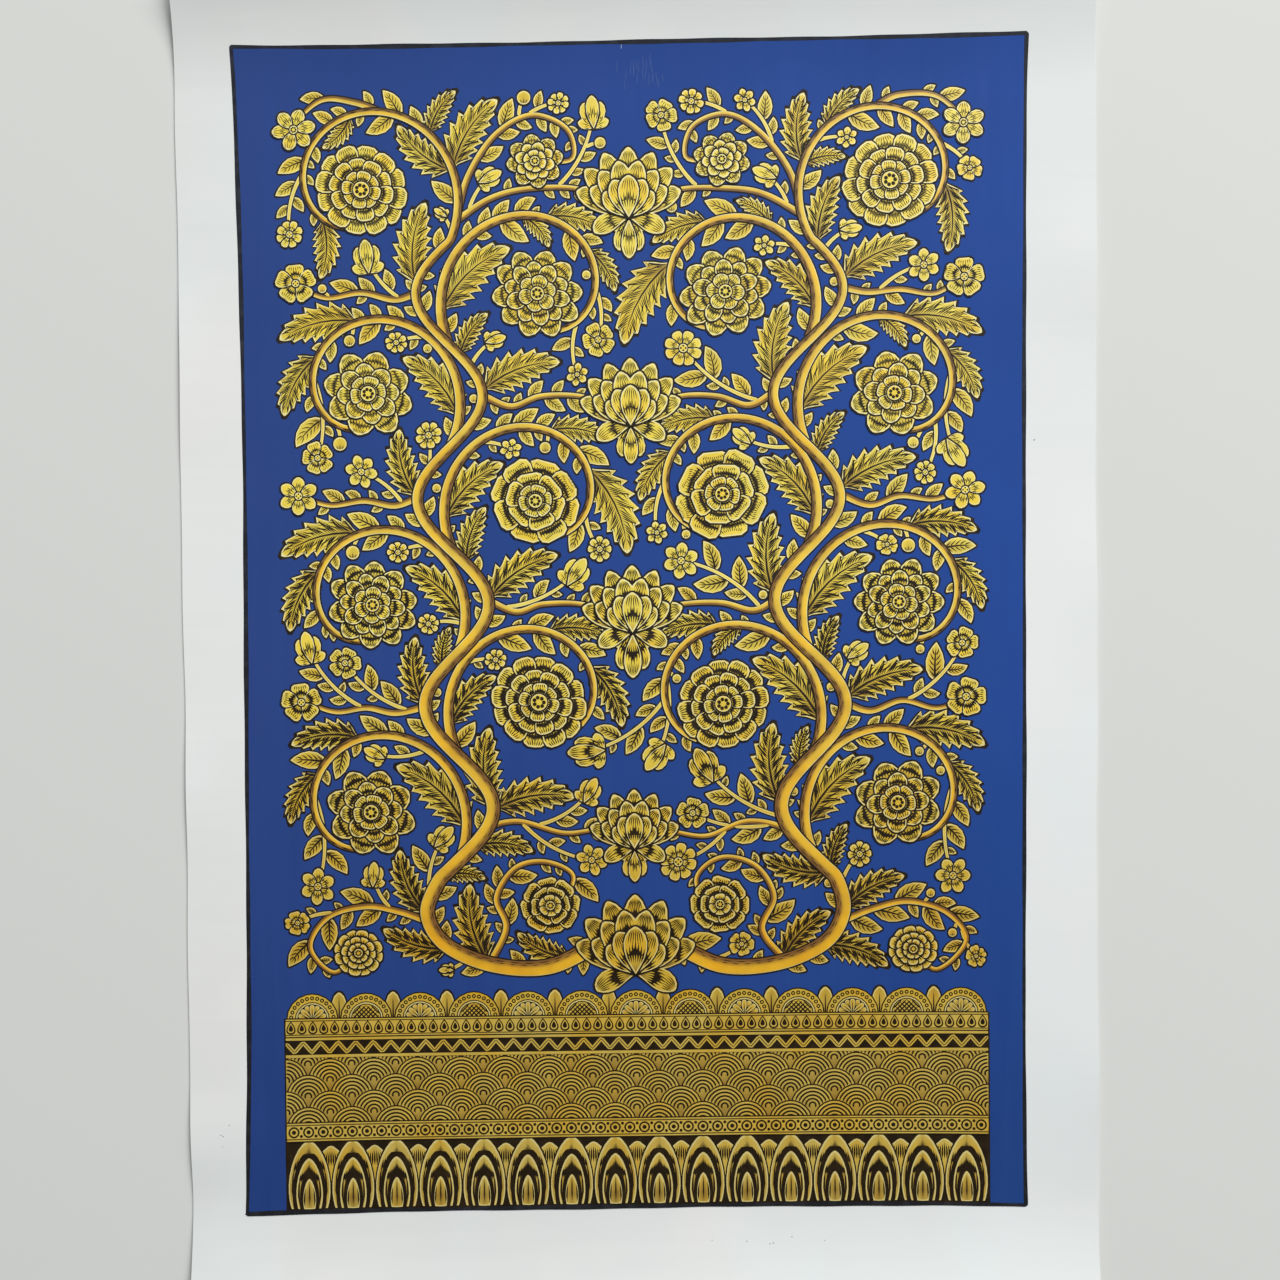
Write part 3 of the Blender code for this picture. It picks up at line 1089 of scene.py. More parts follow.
def fan_blades(x, y, aim_turn, reach, spread, count, half, droop, level):
    """Petals from one root, fanned about a direction. The middle ones are longest and lie on
    top, and the outer ones droop outwards."""
    share = np.linspace(-1, 1, count)
    turn = aim_turn + spread * share
    rank = np.floor((count - 1) / 2 - np.abs(np.arange(count) - (count - 1) / 2) + 0.01)
    return Blades(np.full(count, x), np.full(count, y), turn - droop * share * 0.5,
                  reach * (1 - 0.16 * share**2), half * np.ones(count), droop * share, level + rank)


# The rows of petals of a lotus seen from the side, and of a bud, the hindmost first: how far they
# reach and how wide each is, as shares of the whole, how they fan out and droop, and how much of
# each is hidden by the next row.
LOTUS_ROWS = [
    {"reach": 0.66, "spread": 1.98, "count": 2, "half": 0.14, "droop": 0.9, "level": 0, "hidden": 0.15},
    {"reach": 1.00, "spread": 1.10, "count": 7, "half": 0.165, "droop": 0.35, "level": 0, "hidden": 0.56},
    {"reach": 0.82, "spread": 0.92, "count": 6, "half": 0.16, "droop": 0.30, "level": 4, "hidden": 0.50},
    {"reach": 0.60, "spread": 0.80, "count": 5, "half": 0.15, "droop": 0.30, "level": 7, "hidden": 0.05},
]
BUD_ROWS = [
    {"reach": 0.62, "spread": 1.15, "count": 2, "half": 0.15, "droop": 0.5, "level": 0, "hidden": 0.1},
    {"reach": 1.00, "spread": 0.30, "count": 3, "half": 0.20, "droop": -0.4, "level": 0, "hidden": 0.1},
]


def draw_side_view(coats, x, y, aim_turn, size, height, rows):
    """A blossom or a bud from the side: rows of petals from one root."""
    small = size < SMALL_SIDE_VIEW
    form = POINTED._replace(rows=close_to_ends(7 if small else 9))
    for row in rows:
        half = row["half"] * size
        blades = fan_blades(x, y, aim_turn, row["reach"] * size, row["spread"], row["count"],
                            half, row["droop"], row["level"])
        veins, shade = petal_hatching(half, row["hidden"])
        draw_blades(coats, blades, form, height, veins=veins, shade=shade,
                    rim=petal_rim(small), outline=OUTLINE * 0.9)


# The great blossoms in the coils, the lowest first, their radius, how much it varies, how they turn
# from upright, and how they are squashed, and along which way.
GREAT_KINDS = ["lotus", "marigold", "dahlia", "peony", "lotus", "dahlia", "marigold"]
GREAT_RADIUS = 18.2
GREAT_VARIES = 0.5
GREAT_TURN = 0.25
GREAT_SQUASH = (0.92, 0.6)
# The middling blossoms at the ends of the right half's twigs, in millimetres, and their squash.
SMALLER_BLOSSOMS = [
    {"x": 33, "y": -107, "radius": 11.5, "kind": "peony"},
    {"x": 36, "y": 181, "radius": 11, "kind": "lotus"},
    {"x": 108, "y": -125, "radius": 9.5, "kind": "marigold"},
    {"x": 129, "y": 194, "radius": 8.5, "kind": "star"},
    {"x": 129, "y": -27, "radius": 7.8, "kind": "cherry"},
    {"x": 129, "y": 53, "radius": 7.8, "kind": "star"},
    {"x": 129, "y": 135, "radius": 7.8, "kind": "cherry"},
]
SMALLER_SQUASH = 0.94
# The lotuses up the middle and the buds that hang from their roots: the height of each one's root,
# and its size, in millimetres. The buds lie in films under the lotuses'.
SIDE_LOTUSES = [(-134, 31), (-85, 23), (-1, 26), (79, 26), (159, 27)]
HANGING_BUDS = [(-86, 12), (-1.6, 17), (78.4, 14), (158.4, 15)]
HANGING_HEIGHT = BLOSSOM_HEIGHT - 9 * FILM


def place_blossoms():
    """The blossoms of both halves, each with its own small turn."""
    placed = []
    for side in (1, -1):
        for number, kind in enumerate(GREAT_KINDS):
            x, y = coil_middle(number, side)
            turn = np.pi / 2 + side * GREAT_TURN + rng.normal(0, 0.1)
            radius = (GREAT_RADIUS + rng.normal(0, GREAT_VARIES)) * MM
            squash, way = GREAT_SQUASH
            placed.append(Blossom(side * x, y, radius, kind, turn, squash, side * way))
        for row in SMALLER_BLOSSOMS:
            turn = np.pi / 2 + rng.normal(0, 0.3)
            x, y, radius = side * row["x"] * MM, row["y"] * MM, row["radius"] * MM
            placed.append(Blossom(x, y, radius, row["kind"], turn, SMALLER_SQUASH, 0))
    return placed


blossoms = place_blossoms()


def draw_blossoms():
    """Lay the great and the middling blossoms, and up the middle the lotuses with their buds."""
    coats = new_coats("blossom")
    for blossom in blossoms:
        draw_blossom(coats, blossom, BLOSSOM_HEIGHT)
    for y, size in SIDE_LOTUSES:
        draw_side_view(coats, 0.0, y * MM, math.pi / 2, size * MM, BLOSSOM_HEIGHT, LOTUS_ROWS)
    for y, size in HANGING_BUDS:
        draw_side_view(coats, 0.0, y * MM, -math.pi / 2, size * MM, HANGING_HEIGHT, BUD_ROWS)
    return [coat.finish() for coat in coats.values()]


blossom_pieces = draw_blossoms()

# The serrated leaves
# Long leaves with saw-toothed edges, closely veined. They spring from the coils and the main
# stems. A painter fits them into the gaps, so a grid of small cells keeps what is drawn already.

# How far the design reaches to each side, to the top and down towards the foot.
DESIGN_SIDE = 137 * MM
DESIGN_TOP = 209 * MM
FOOT_TOP = -136 * MM

CELL = 0.5 * MM
# How much clear room a blade needs round it, what share of it may still lie on something drawn,
# and the share of its length that may lie beside its own stem.
CLEAR_ROOM = 0.36 * MM
MOST_HIDDEN = 0.02
BESIDE_STEM = 0.45
# How much room is kept beside a stem, round a blossom and round a blade once it is chosen, and how
# far past its stem's edge a blade's root is let off.
STEM_ROOM = 0.55 * MM
BLOSSOM_ROOM = 0.7 * MM
BLADE_ROOM = 0.35 * MM
ROOT_SPARE = 0.3 * MM

TEETH = 7
# A leaf's half width as a share of its length, the lengths that are tried, and where the small,
# middling and great leaves part, in millimetres, with how many veins each has to a side.
SLIMNESS = 0.22
SERRATED_LENGTHS = (38, 33, 28, 24, 20, 17)
SERRATED_VEINS = ((0, 19, 13), (19, 27, 19), (27, 50, 27))
# The half widths of a leaf's midrib and of the strokes between its teeth, and of its finer veins.
BOLD_VEIN = 0.34 * MM
SIDE_VEIN = 0.23 * MM
# At which places along a coil leaves are tried, on its inner side, 1, or its outer, -1, and how
# they bend. Then the angles at which they are tried, from coils and from main stems.
COIL_SPROUTS = ((8, 1, 0.9), (20, -1, -0.9), (34, -1, -0.9), (44, 1, 0.9), (50, -1, -0.8), (64, -1, -0.8))
COIL_ANGLES = (0.6, 0.8, 0.45)
MAIN_ANGLES = (0.7, 0.5, 0.95)

taken = np.zeros((int(FIELD_HEIGHT / CELL) + 1, int(FIELD_WIDTH / CELL) + 1), int)
cell_y, cell_x = np.indices(taken.shape) * CELL - np.array([FIELD_HEIGHT, FIELD_WIDTH])[:, None, None] / 2
taken[(np.abs(cell_x) > DESIGN_SIDE) | (cell_y > DESIGN_TOP) | (cell_y < FOOT_TOP + 1 * MM)] = 1


def cells(places):
    """The rows and columns of the cells that places fall in."""
    column = np.clip(((places[..., 0] + FIELD_WIDTH / 2) / CELL + 0.5).astype(int), 0, taken.shape[1] - 1)
    row = np.clip(((places[..., 1] + FIELD_HEIGHT / 2) / CELL + 0.5).astype(int), 0, taken.shape[0] - 1)
    return row, column


def take_disc(x, y, radius):
    """Mark a round place as drawn on."""
    taken[np.hypot(cell_x - x, cell_y - y) < radius] = 1


def take_stem(stem, spare):
    """Mark a stem's width, and a little more on each side, with its number."""
    path = evenly(stem.path, CELL)
    half = np.linspace(stem.start_half, stem.end_half, len(path))[1:-1] + spare
    grid, _ = stroke_grid(path[None], half, int(4 * half[0] / CELL) | 1)
    taken[cells(grid)] = stem.number


for stem in stems:
    take_stem(stem, STEM_ROOM)
for blossom in blossoms:
    take_disc(blossom.x, blossom.y, blossom.radius * 0.95 + BLOSSOM_ROOM)
for y, size in SIDE_LOTUSES:
    take_disc(0, (y + 0.50 * size) * MM, 0.60 * size * MM)
for y, size in HANGING_BUDS:
    take_disc(0, (y - 0.55 * size) * MM, 0.55 * size * MM)


def tooth(t):
    """How far along its tooth a share of the leaf's length is, from 0 to 1."""
    return (t * TEETH) % 1.0


SAW_ROWS = (np.arange(TEETH)[:, None] + np.array([0.03, 0.4, 0.75, 0.97])).ravel() / TEETH
SAW = Form(lambda t: hump(t, 0.42, 0.72) * (0.70 + 0.38 * tooth(t) ** 1.4), SAW_ROWS, lean=0.09,
           ahead=lambda t: 1.5 * np.abs(2 * tooth(t) - 1) ** 3)
LEAF = Form(lambda t: hump(t, 0.78, 1.0), close_to_ends(7))


def fitted(options, form, rooted, number, mark):
    """The first of some blades that lies clear of what is drawn, or None. The first part of each,
    `rooted` long, is under the stem and is let off, and the next part may lie beside its own
    stem, which has that number. With `mark`, the chosen blade is marked as drawn on."""
    skip = np.minimum(rooted / options.length, 0.7)[:, None, None]
    t = skip + (1 - skip) * np.linspace(0, 1, 22)[:, None]
    found = taken[cells(blade_places(options, t, np.linspace(-1, 1, 13)[None], form, CLEAR_ROOM))]
    beside = t < skip + BESIDE_STEM * (1 - skip)
    share = ((found != 0) & ((found != number) | ~beside)).reshape(len(found), -1).mean(1)
    free = np.flatnonzero(share <= MOST_HIDDEN)
    if not len(free):
        return None
    chosen = Blades(*(np.asarray(a)[free[:1]] for a in options))
    if mark:
        along, across = np.linspace(0.1, 1, 90)[:, None], np.linspace(-1, 1, 41)[None]
        taken[cells(blade_places(chosen, along, across, form, BLADE_ROOM))] = 1
    return [float(a[0]) for a in chosen]


def sprout(stem, at, side, sizes, angles, bend, form, mark=True):
    """Try blades that spring from a stem to one side, the longest first. sizes holds lengths and
    half widths."""
    ahead = stem.path[min(at + 2, len(stem.path) - 1)] - stem.path[max(at - 2, 0)]
    trials = np.array([(length, width, angle) for length, width in sizes for angle in angles])
    length, width, angle = trials.T
    turn = math.atan2(ahead[1], ahead[0]) + side * angle
    place = np.broadcast_to(stem.path[at], (len(trials), 2))
    options = Blades(place[:, 0], place[:, 1], turn, length, width, 0 * angle + side * bend, 0 * angle)
    half = stem.start_half + (stem.end_half - stem.start_half) * at / len(stem.path)
    return fitted(options, form, (half + ROOT_SPARE) / np.sin(angle), stem.number, mark)


def gathered(rows):
    """Rows of blades as one table, without the empty ones."""
    return Blades(*np.array([row for row in rows if row]).T)


def place_serrated():
    """Try serrated leaves along the coils, inside and outside, and along the main stems."""
    rows = []
    sizes = [(length * MM, length * SLIMNESS * MM) for length in SERRATED_LENGTHS]
    for stem in stems:
        if stem.kind == "coil":
            first, second = stem.path[12] - stem.path[0], stem.path[24] - stem.path[12]
            curl = np.sign(first[0] * second[1] - first[1] * second[0])
            for at, inner, bend in COIL_SPROUTS:
                at = min(at, len(stem.path) - 8)
                rows.append(sprout(stem, at, inner * curl, sizes, COIL_ANGLES, bend, SAW))
        if stem.kind == "main":
            for at in range(8, len(stem.path) - 6, 11):
                for side in (1, -1):
                    rows.append(sprout(stem, at, side, sizes[1:], MAIN_ANGLES, -side * 0.8, SAW))
    return gathered(rows)


def leaf_shade(t, v):
    """Brown along the midrib and towards the root, and on one side more than on the other."""
    midrib_brown = np.clip(0.55 - 1.2 * np.abs(v), 0, 1) * (1 - 0.5 * t)
    return midrib_brown + np.clip(0.7 - 2.2 * t, 0, 1) + 0.18 * (v < -0.3)


def notches(half):
    """A stroke in from between each two teeth, slanting back to the root, on both sides. It is
    thickest at the edge."""
    q = np.linspace(0, 1, 4)
    t = np.arange(1, TEETH)[:, None] / TEETH + 0.015 - 0.085 * q
    v = np.tile(0.92 - 0.52 * q, (TEETH - 1, 1))
    return Veins(np.tile(t, (2, 1)), np.concatenate([v, -v]), half * np.array([1, 0.5]))


def draw_serrated():
    """Lay the serrated leaves, the small ones first."""
    blades = place_serrated()
    coats = new_coats("serrated_leaf")
    for low, high, count in SERRATED_VEINS:
        fits = (blades.length > low * MM) & (blades.length <= high * MM)
        chosen = Blades(*(values[fits] for values in blades))
        side_ribs = ribs(count, 0.05, 0.84, 0.80, 0.13, SIDE_VEIN)
        draw_blades(coats, chosen, SAW, LEAF_HEIGHT, columns=5, rim=RIM * 0.8, shade=leaf_shade,
                    veins=[midrib(0.93, BOLD_VEIN), side_ribs, notches(BOLD_VEIN)])
    return [coat.finish() for coat in coats.values()]


serrated_pieces = draw_serrated()

# The sprigs
# Small stalks grow from the stems and from each other into the gaps, and each ends in a small
# blossom, a bud or a berry. Then pointed leaves are set along the stems and stalks.

# The angles at which a sprig is tried from its stem.
SPRIG_ANGLES = (0.75, 0.5, 1.05, 1.3)
# How far the pale gold shows round a stalk's gold and a berry's, and how much room is kept beside a
# stalk and round a head.
STALK_RIM = 0.32 * MM
BERRY_RIM = 0.3 * MM
STALK_ROOM = 0.45 * MM
HEAD_ROOM = 0.6 * MM
# The radius under which a head is a berry, the one over which it may be a blossom, and the share of
# those that are.
BERRY_RADIUS = 2.8 * MM
BLOSSOM_RADIUS = 3.4 * MM
BLOSSOM_SHARE = 0.75
HEAD_KINDS = ("star", "cherry", "daisy")
HEAD_HEIGHT = SPRIG_HEIGHT + 4 * FILM
BERRY_HAIRS = [rays(3, 0.5, 0.08, 0.5, 0.2, 0.18 * MM)]
# Every how many places of a stem a pointed leaf is tried, and the lengths tried after the longest.
LEAF_STEP = 2
LEAF_LENGTHS = (9, 7, 5.5, 4.5)
# The half widths of a pointed leaf's midrib and of its side veins.
LEAF_MIDRIB = 0.30 * MM
LEAF_VEIN = 0.21 * MM

# The rounds in which sprigs are tried: their lengths, every how many places of a stem, how much
# of the length is half the head, and whether leaves then grow on every stem or on the new ones.
ROUNDS = [
    {"lengths": (45, 39), "step": 6, "head": 0.18, "leaves": "new"},
    {"lengths": (36, 32, 28), "step": 5, "head": 0.26, "leaves": "new"},
    {"lengths": (31, 26), "step": 4, "head": 0.19, "leaves": "new"},
    {"lengths": (24, 21, 18), "step": 3, "head": 0.26, "leaves": "all"},
    {"lengths": (19, 15.5, 13), "step": 2, "head": 0.24, "leaves": "all"},
    {"lengths": (11, 9), "step": 1, "head": 0.26, "leaves": "all"},
    {"lengths": (8.5, 7), "step": 1, "head": 0.26, "leaves": "new"},
]


def club(head):
    """The outline of a sprig: a thin stalk, then a round head whose half width is `head` of the
    sprig's length."""
    def profile(t):
        """Even along the stalk, and a half circle's height along the head."""
        ball = np.sqrt(np.clip(1 - ((t - 1) / head + 1) ** 2, 0, 1))
        return np.where(t < 1 - 1.9 * head, 0.16, ball)
    return Form(profile, close_to_ends(9))


def grow_sprigs(parents, lengths, step, head):
    """Try a sprig at every few places of each parent stem, on both sides. Returns the sprigs as
    rows of blades as long as stalk and head, and their stalks as stems."""
    rows, stalks = [], []
    sizes = [(length * MM, length * head * MM) for length in lengths]
    form = club(head)
    for stem in parents:
        for at in range(4, len(stem.path) - 1, step):
            for side in (1, -1):
                bend = 0.9 if rng.random() < 0.6 else -0.9
                row = (sprout(stem, at, side, sizes, SPRIG_ANGLES, bend, form, mark=False)
                       or sprout(stem, at, side, sizes, SPRIG_ANGLES, -bend, form, mark=False))
                if row:
                    rows.append(row)
                    along = np.linspace(0, 1 - head, 14)[:, None]
                    spine = blade_places(gathered([row]), along, np.zeros((1, 1)), form)[0, :, 0]
                    stalk = Stem(evenly(spine, PATH_STEP), *STEM_HALVES["stalk"], "stalk", next(numbers))
                    take_stem(stalk, STALK_ROOM)
                    take_disc(spine[-1, 0], spine[-1, 1], 0.9 * row[4] + HEAD_ROOM)
                    stalks.append(stalk)
    return rows, stalks


def place_leaves(parents):
    """Try leaves at every few places of each stem, on one side and then on the other."""
    rows = []
    for stem in parents:
        for number, at in enumerate(range(3, len(stem.path), LEAF_STEP)):
            for side in ((1, -1) if number % 2 else (-1, 1)):
                longest = rng.uniform(11, 16)
                sizes = [(length * MM, length * SLIMNESS * MM + 0.35 * MM)
                         for length in (longest, longest - 2.5, *LEAF_LENGTHS)]
                angles = np.clip(rng.normal((0.85, 0.6, 1.1), 0.08), 0.4, 1.35)
                rows.append(sprout(stem, at, side, sizes, angles, -rng.normal(0.45, 0.25), LEAF))
    return rows


def draw_stalks(coats, stalks):
    """Lay the sprigs' stalks, black, pale and gold, over the leaves' roots and under the heads."""
    for stem in stalks:
        half = stem_halves(stem)[1:-1]
        for name, grow, film in (("black", OUTLINE * 0.8, 0), ("pale", 0.0, 1), ("gold", -STALK_RIM, 2)):
            grid, tips = stroke_grid(stem.path[None], half + grow)
            coats[name].lay(grid, tips, SPRIG_HEIGHT + film * FILM)


def draw_head(coats, end, angle, width, bend):
    """The head of a sprig at its stalk's end: a berry, a small blossom or a bud, by its size."""
    radius = 0.9 * width
    if radius < BERRY_RADIUS:
        draw_blades(coats, discs(*end, radius), DISC, HEAD_HEIGHT, veins=BERRY_HAIRS, rim=BERRY_RIM,
                    outline=OUTLINE * 0.9, shade=leaf_shade)
    elif radius > BLOSSOM_RADIUS and rng.random() < BLOSSOM_SHARE:
        kind = HEAD_KINDS[rng.integers(3)]
        turn = angle + rng.normal(0, 0.4)
        draw_blossom(coats, Blossom(*end, radius, kind, turn, 0.92, angle), HEAD_HEIGHT)
    else:
        turn = angle + bend
        root = end - 0.9 * radius * np.array([math.cos(turn), math.sin(turn)])
        draw_side_view(coats, *root, turn, 2.0 * radius, HEAD_HEIGHT, BUD_ROWS)


def draw_sprigs():
    """Lay the leaves, then the stalks over their roots, then the sprigs' heads."""
    sprigs, stalks, leaves = [], [], []
    for row in ROUNDS:
        grown, new_stalks = grow_sprigs(stems + stalks, row["lengths"], row["step"], row["head"])
        sprigs, stalks = sprigs + grown, stalks + new_stalks
        leaves += place_leaves(stems + stalks if row["leaves"] == "all" else new_stalks)
    coats = new_coats("sprig")
    veins = [midrib(0.86, LEAF_MIDRIB), ribs(5, 0.10, 0.66, 0.66, 0.20, LEAF_VEIN)]
    draw_blades(coats, gathered(leaves), LEAF, LEAF_HEIGHT, veins=veins, rim=RIM * 0.7,
                outline=OUTLINE * 0.9, shade=leaf_shade)
    draw_stalks(coats, stalks)
    for stalk, (_, _, angle, _, width, bend, _) in zip(stalks, sprigs):
        draw_head(coats, stalk.path[-1], angle, width, bend)
    return [coat.finish() for coat in coats.values()]


sprig_pieces = draw_sprigs()

# The foot
# Border bands stand along the foot, on black: a frieze of lotus petals, rings, overlapping
# scales, a zigzag and drops, one above the other, with a row of small domes on top.

FOOT_SIDE = 137 * MM
FOOT_HEIGHT = 0.07 * MM
# How high the two faces of the black under the bands lie above the cotton.
FOOT_GROUND = (0.045 * MM, 0.06 * MM)
# How far that black runs out past the bands at each side, and the heights that it runs between, in
# millimetres.
GROUND_SPARE = 0.6 * MM
GROUND_ENDS = (-226.4, -150.5)
# The height above the field's foot at which the bands slope only half as much.
SLOPE_HALVED = 80 * MM
# How many petals or scales stand across the foot, how many domes, and how far apart they are.
PETALS = 16
DOMES = 13
PITCH = 2 * FOOT_SIDE / PETALS
DOME_PITCH = 2 * FOOT_SIDE / DOMES

# Each band of the foot: its lower and upper edges.
BANDS = {
    "frieze": (-226.2 * MM, -199.2 * MM),
    "rings": (-198.6 * MM, -191.6 * MM),
    "scales": (-191.3 * MM, -166.2 * MM),
    "zigzag": (-165.6 * MM, -158.2 * MM),
    "drops": (-157.6 * MM, -150.8 * MM),
}


def sloped(places):
    """Places moved up or down as the field's foot slopes and bows, and half as far at the top."""
    _, floor = field_place(2 * places[..., 0] / FIELD_WIDTH, -1)
    share = 1 - 0.5 * np.clip((places[..., 1] + FIELD_HEIGHT / 2) / SLOPE_HALVED, 0, 1)
    return np.stack([places[..., 0], places[..., 1] + share * (floor + FIELD_HEIGHT / 2)], -1)


class FootCoat(Coat):
    """A coat whose lenses all follow the field's slope."""

    def lay(self, grid, tips, height, shade=None):
        """Add lenses, as a coat does, each moved with the slope."""
        super().lay(sloped(grid), sloped(tips), height, shade)


def make_foot_ground():
    """The black that the bands are drawn on, down to the ruled edge."""
    across = np.linspace(-1, 1, 91) * (FOOT_SIDE + GROUND_SPARE)
    flat = np.meshgrid(across, np.linspace(*GROUND_ENDS, 33) * MM)
    x, y = np.moveaxis(sloped(np.stack(flat, -1)), -1, 0)
    points, corners = slab(x, y, *(over_cotton(x, y, height) for height in FOOT_GROUND))
    return make_piece("foot_ground", points, corners, BLACK, smooth=True)


def in_row(count, shares=1):
    """How far from the foot's middle each of a row of things is. They are PITCH apart, or that
    over a number of shares."""
    return (np.arange(count) - (count - 1) / 2) * PITCH / shares


def middle_and_half(name):
    """The height of a band's middle, and half its own height."""
    low, high = BANDS[name]
    return (low + high) / 2, (high - low) / 2


# The half width under which a stripe has three columns, and how far the black shows round one.
NARROW_STRIPE = 1.5 * MM
STRIPE_OUTLINE = 0.5 * MM


def strip(coat, y, half, height):
    """A straight stripe right across the foot."""
    x = np.linspace(-FOOT_SIDE, FOOT_SIDE, 82)
    x[[1, -2]] = x[[0, -1]] * 0.999
    path = np.stack([x, y + 0 * x], -1)[None]
    grid, tips = stroke_grid(path, np.full(80, half), 3 if half < NARROW_STRIPE else 7)
    coat.lay(grid, tips, height)


def draw_stripe(coats, y, half, line, body, height):
    """A gold stripe with black round it, and a black line along each side, which runs from `line`
    to `body` in from the edge."""
    layers = (("black", half + STRIPE_OUTLINE), ("gold", half), ("hair", half - line), ("gold", half - body))
    for film, (name, width) in enumerate(layers):
        strip(coats[name], y, width, height + film * FILM)


def arcs(x, y, radius, start, end):
    """Arc-shaped paths about centres, from a start to an end angle."""
    turn = np.linspace(start, end, 12)
    x = np.atleast_1d(x)[:, None]
    return np.stack([x + radius * np.cos(turn), y + radius * np.sin(turn) + 0 * x], -1)


def draw_lines(coat, paths, half, height):
    """Strokes of one width along many paths."""
    coat.lay(*stroke_grid(paths, np.full(paths.shape[1] - 2, half)), height)


# A frieze petal's foot is cut off straight, by this share of its length, and stands a little over
# the band's.
FRIEZE_CUT = 0.17
FRIEZE_LIFT = 0.8 * MM
FRIEZE_RIM = 0.5 * MM
FRIEZE_ROWS = FRIEZE_CUT + (1 - FRIEZE_CUT) * close_to_ends(11)
FRIEZE = Form(lambda t: hump(t, 0.42, 0.60), FRIEZE_ROWS, start=FRIEZE_CUT)
# The petals that stand in each other, the outer one first: their height as a share of the band's,
# their half width and outline in millimetres, how many hairs they have, and where those start.
FRIEZE_PETALS = [
    {"share": 1.0, "half": 8.2, "outline": 0.5, "hairs": 17, "start": 0.60},
    {"share": 0.74, "half": 5.2, "outline": 1.5, "hairs": 13, "start": 0.60},
    {"share": 0.44, "half": 2.5, "outline": 1.4, "hairs": 3, "start": 0.25},
]
# The petals whose tips show behind: how far their root is over the band's foot, how much shorter
# than the band they are, their half width, and their pale rim.
BEHIND_ROOT = 9.0 * MM
BEHIND_SHORTER = 10.5 * MM
BEHIND_HALF = 4.6 * MM
BEHIND_RIM = 0.4 * MM


def frieze_shade(t, v):
    """Brown round a petal's middle and below."""
    return np.clip(0.9 - 1.3 * np.abs(t - 0.45) - 0.5 * np.abs(v), 0, 1)


def draw_frieze(coats):
    """Lotus petals side by side, each with two smaller ones in it, and the tips of others behind."""
    y, top = BANDS["frieze"]
    length = top - y
    behind = uprights(in_row(PETALS - 1), y + BEHIND_ROOT, length - BEHIND_SHORTER, BEHIND_HALF)
    veins = [rays(9, 0.8, 0.50, 0.90, 0.1)]
    draw_blades(coats, behind, POINTED, FOOT_HEIGHT, veins=veins, rim=BEHIND_RIM)
    for number, row in enumerate(FRIEZE_PETALS):
        whole = length * row["share"] / (1 - FRIEZE_CUT)
        root = y + FRIEZE_LIFT - FRIEZE_CUT * whole
        petals = uprights(in_row(PETALS), root, whole, row["half"] * MM, number + 1)
        hairs = [rays(row["hairs"], 0.80, row["start"], 0.92, 0.20), rays(2, 0.82, 0.22, 0.72, 0.0)]
        draw_blades(coats, petals, FRIEZE, FOOT_HEIGHT, columns=7, veins=hairs, rim=FRIEZE_RIM,
                    outline=row["outline"] * MM, shade=frieze_shade)


# The dots of a ring, the lowest first: their coat and their radius in millimetres.
RING_DOTS = (("black", 2.25), ("gold", 1.55), ("hair", 0.85))
# How far in from a stripe's edge its black line starts and ends, how far over and under the middle
# the dots between two rings are, and their radius.
RING_LINE = (0.55 * MM, 0.95 * MM)
BETWEEN_RISE = 1.55 * MM
BETWEEN_RADIUS = 0.62 * MM


def draw_rings(coats):
    """A gold stripe with black rings along it and a dot above and below between each two."""
    y, half = middle_and_half("rings")
    x = in_row(3 * PETALS, 3)
    height = FOOT_HEIGHT + 18 * FILM
    draw_stripe(coats, y, half, *RING_LINE, height)
    for film, (name, radius) in enumerate(RING_DOTS, 4):
        dot(coats[name], x, y, radius * MM, height + film * FILM)
    between = x[:-1] + PITCH / 6
    for side in (1, -1):
        dot(coats["hair"], between, y + side * BETWEEN_RISE, BETWEEN_RADIUS, height + 4 * FILM)


# How many rows of scales there are, how far each is under the one above, how wide its outline is,
# and what share of its height the last row is cut off by.
SCALE_ROWS = 5
SCALE_STEP = 6.3 * MM
SCALE_OUTLINE = 0.55 * MM
LAST_ROW_CUT = 0.22
# How far apart the arcs in a scale are, how far in from its edge they are counted, and their half
# width.
ARC_PITCH = 1.42 * MM
ARC_INSET = 0.2 * MM
ARC_HALF = 0.36 * MM


def scale_shade(t):
    """Browner down a scale, where the next ones lie over it."""
    return np.clip(1.2 - 1.7 * t, 0, 1)


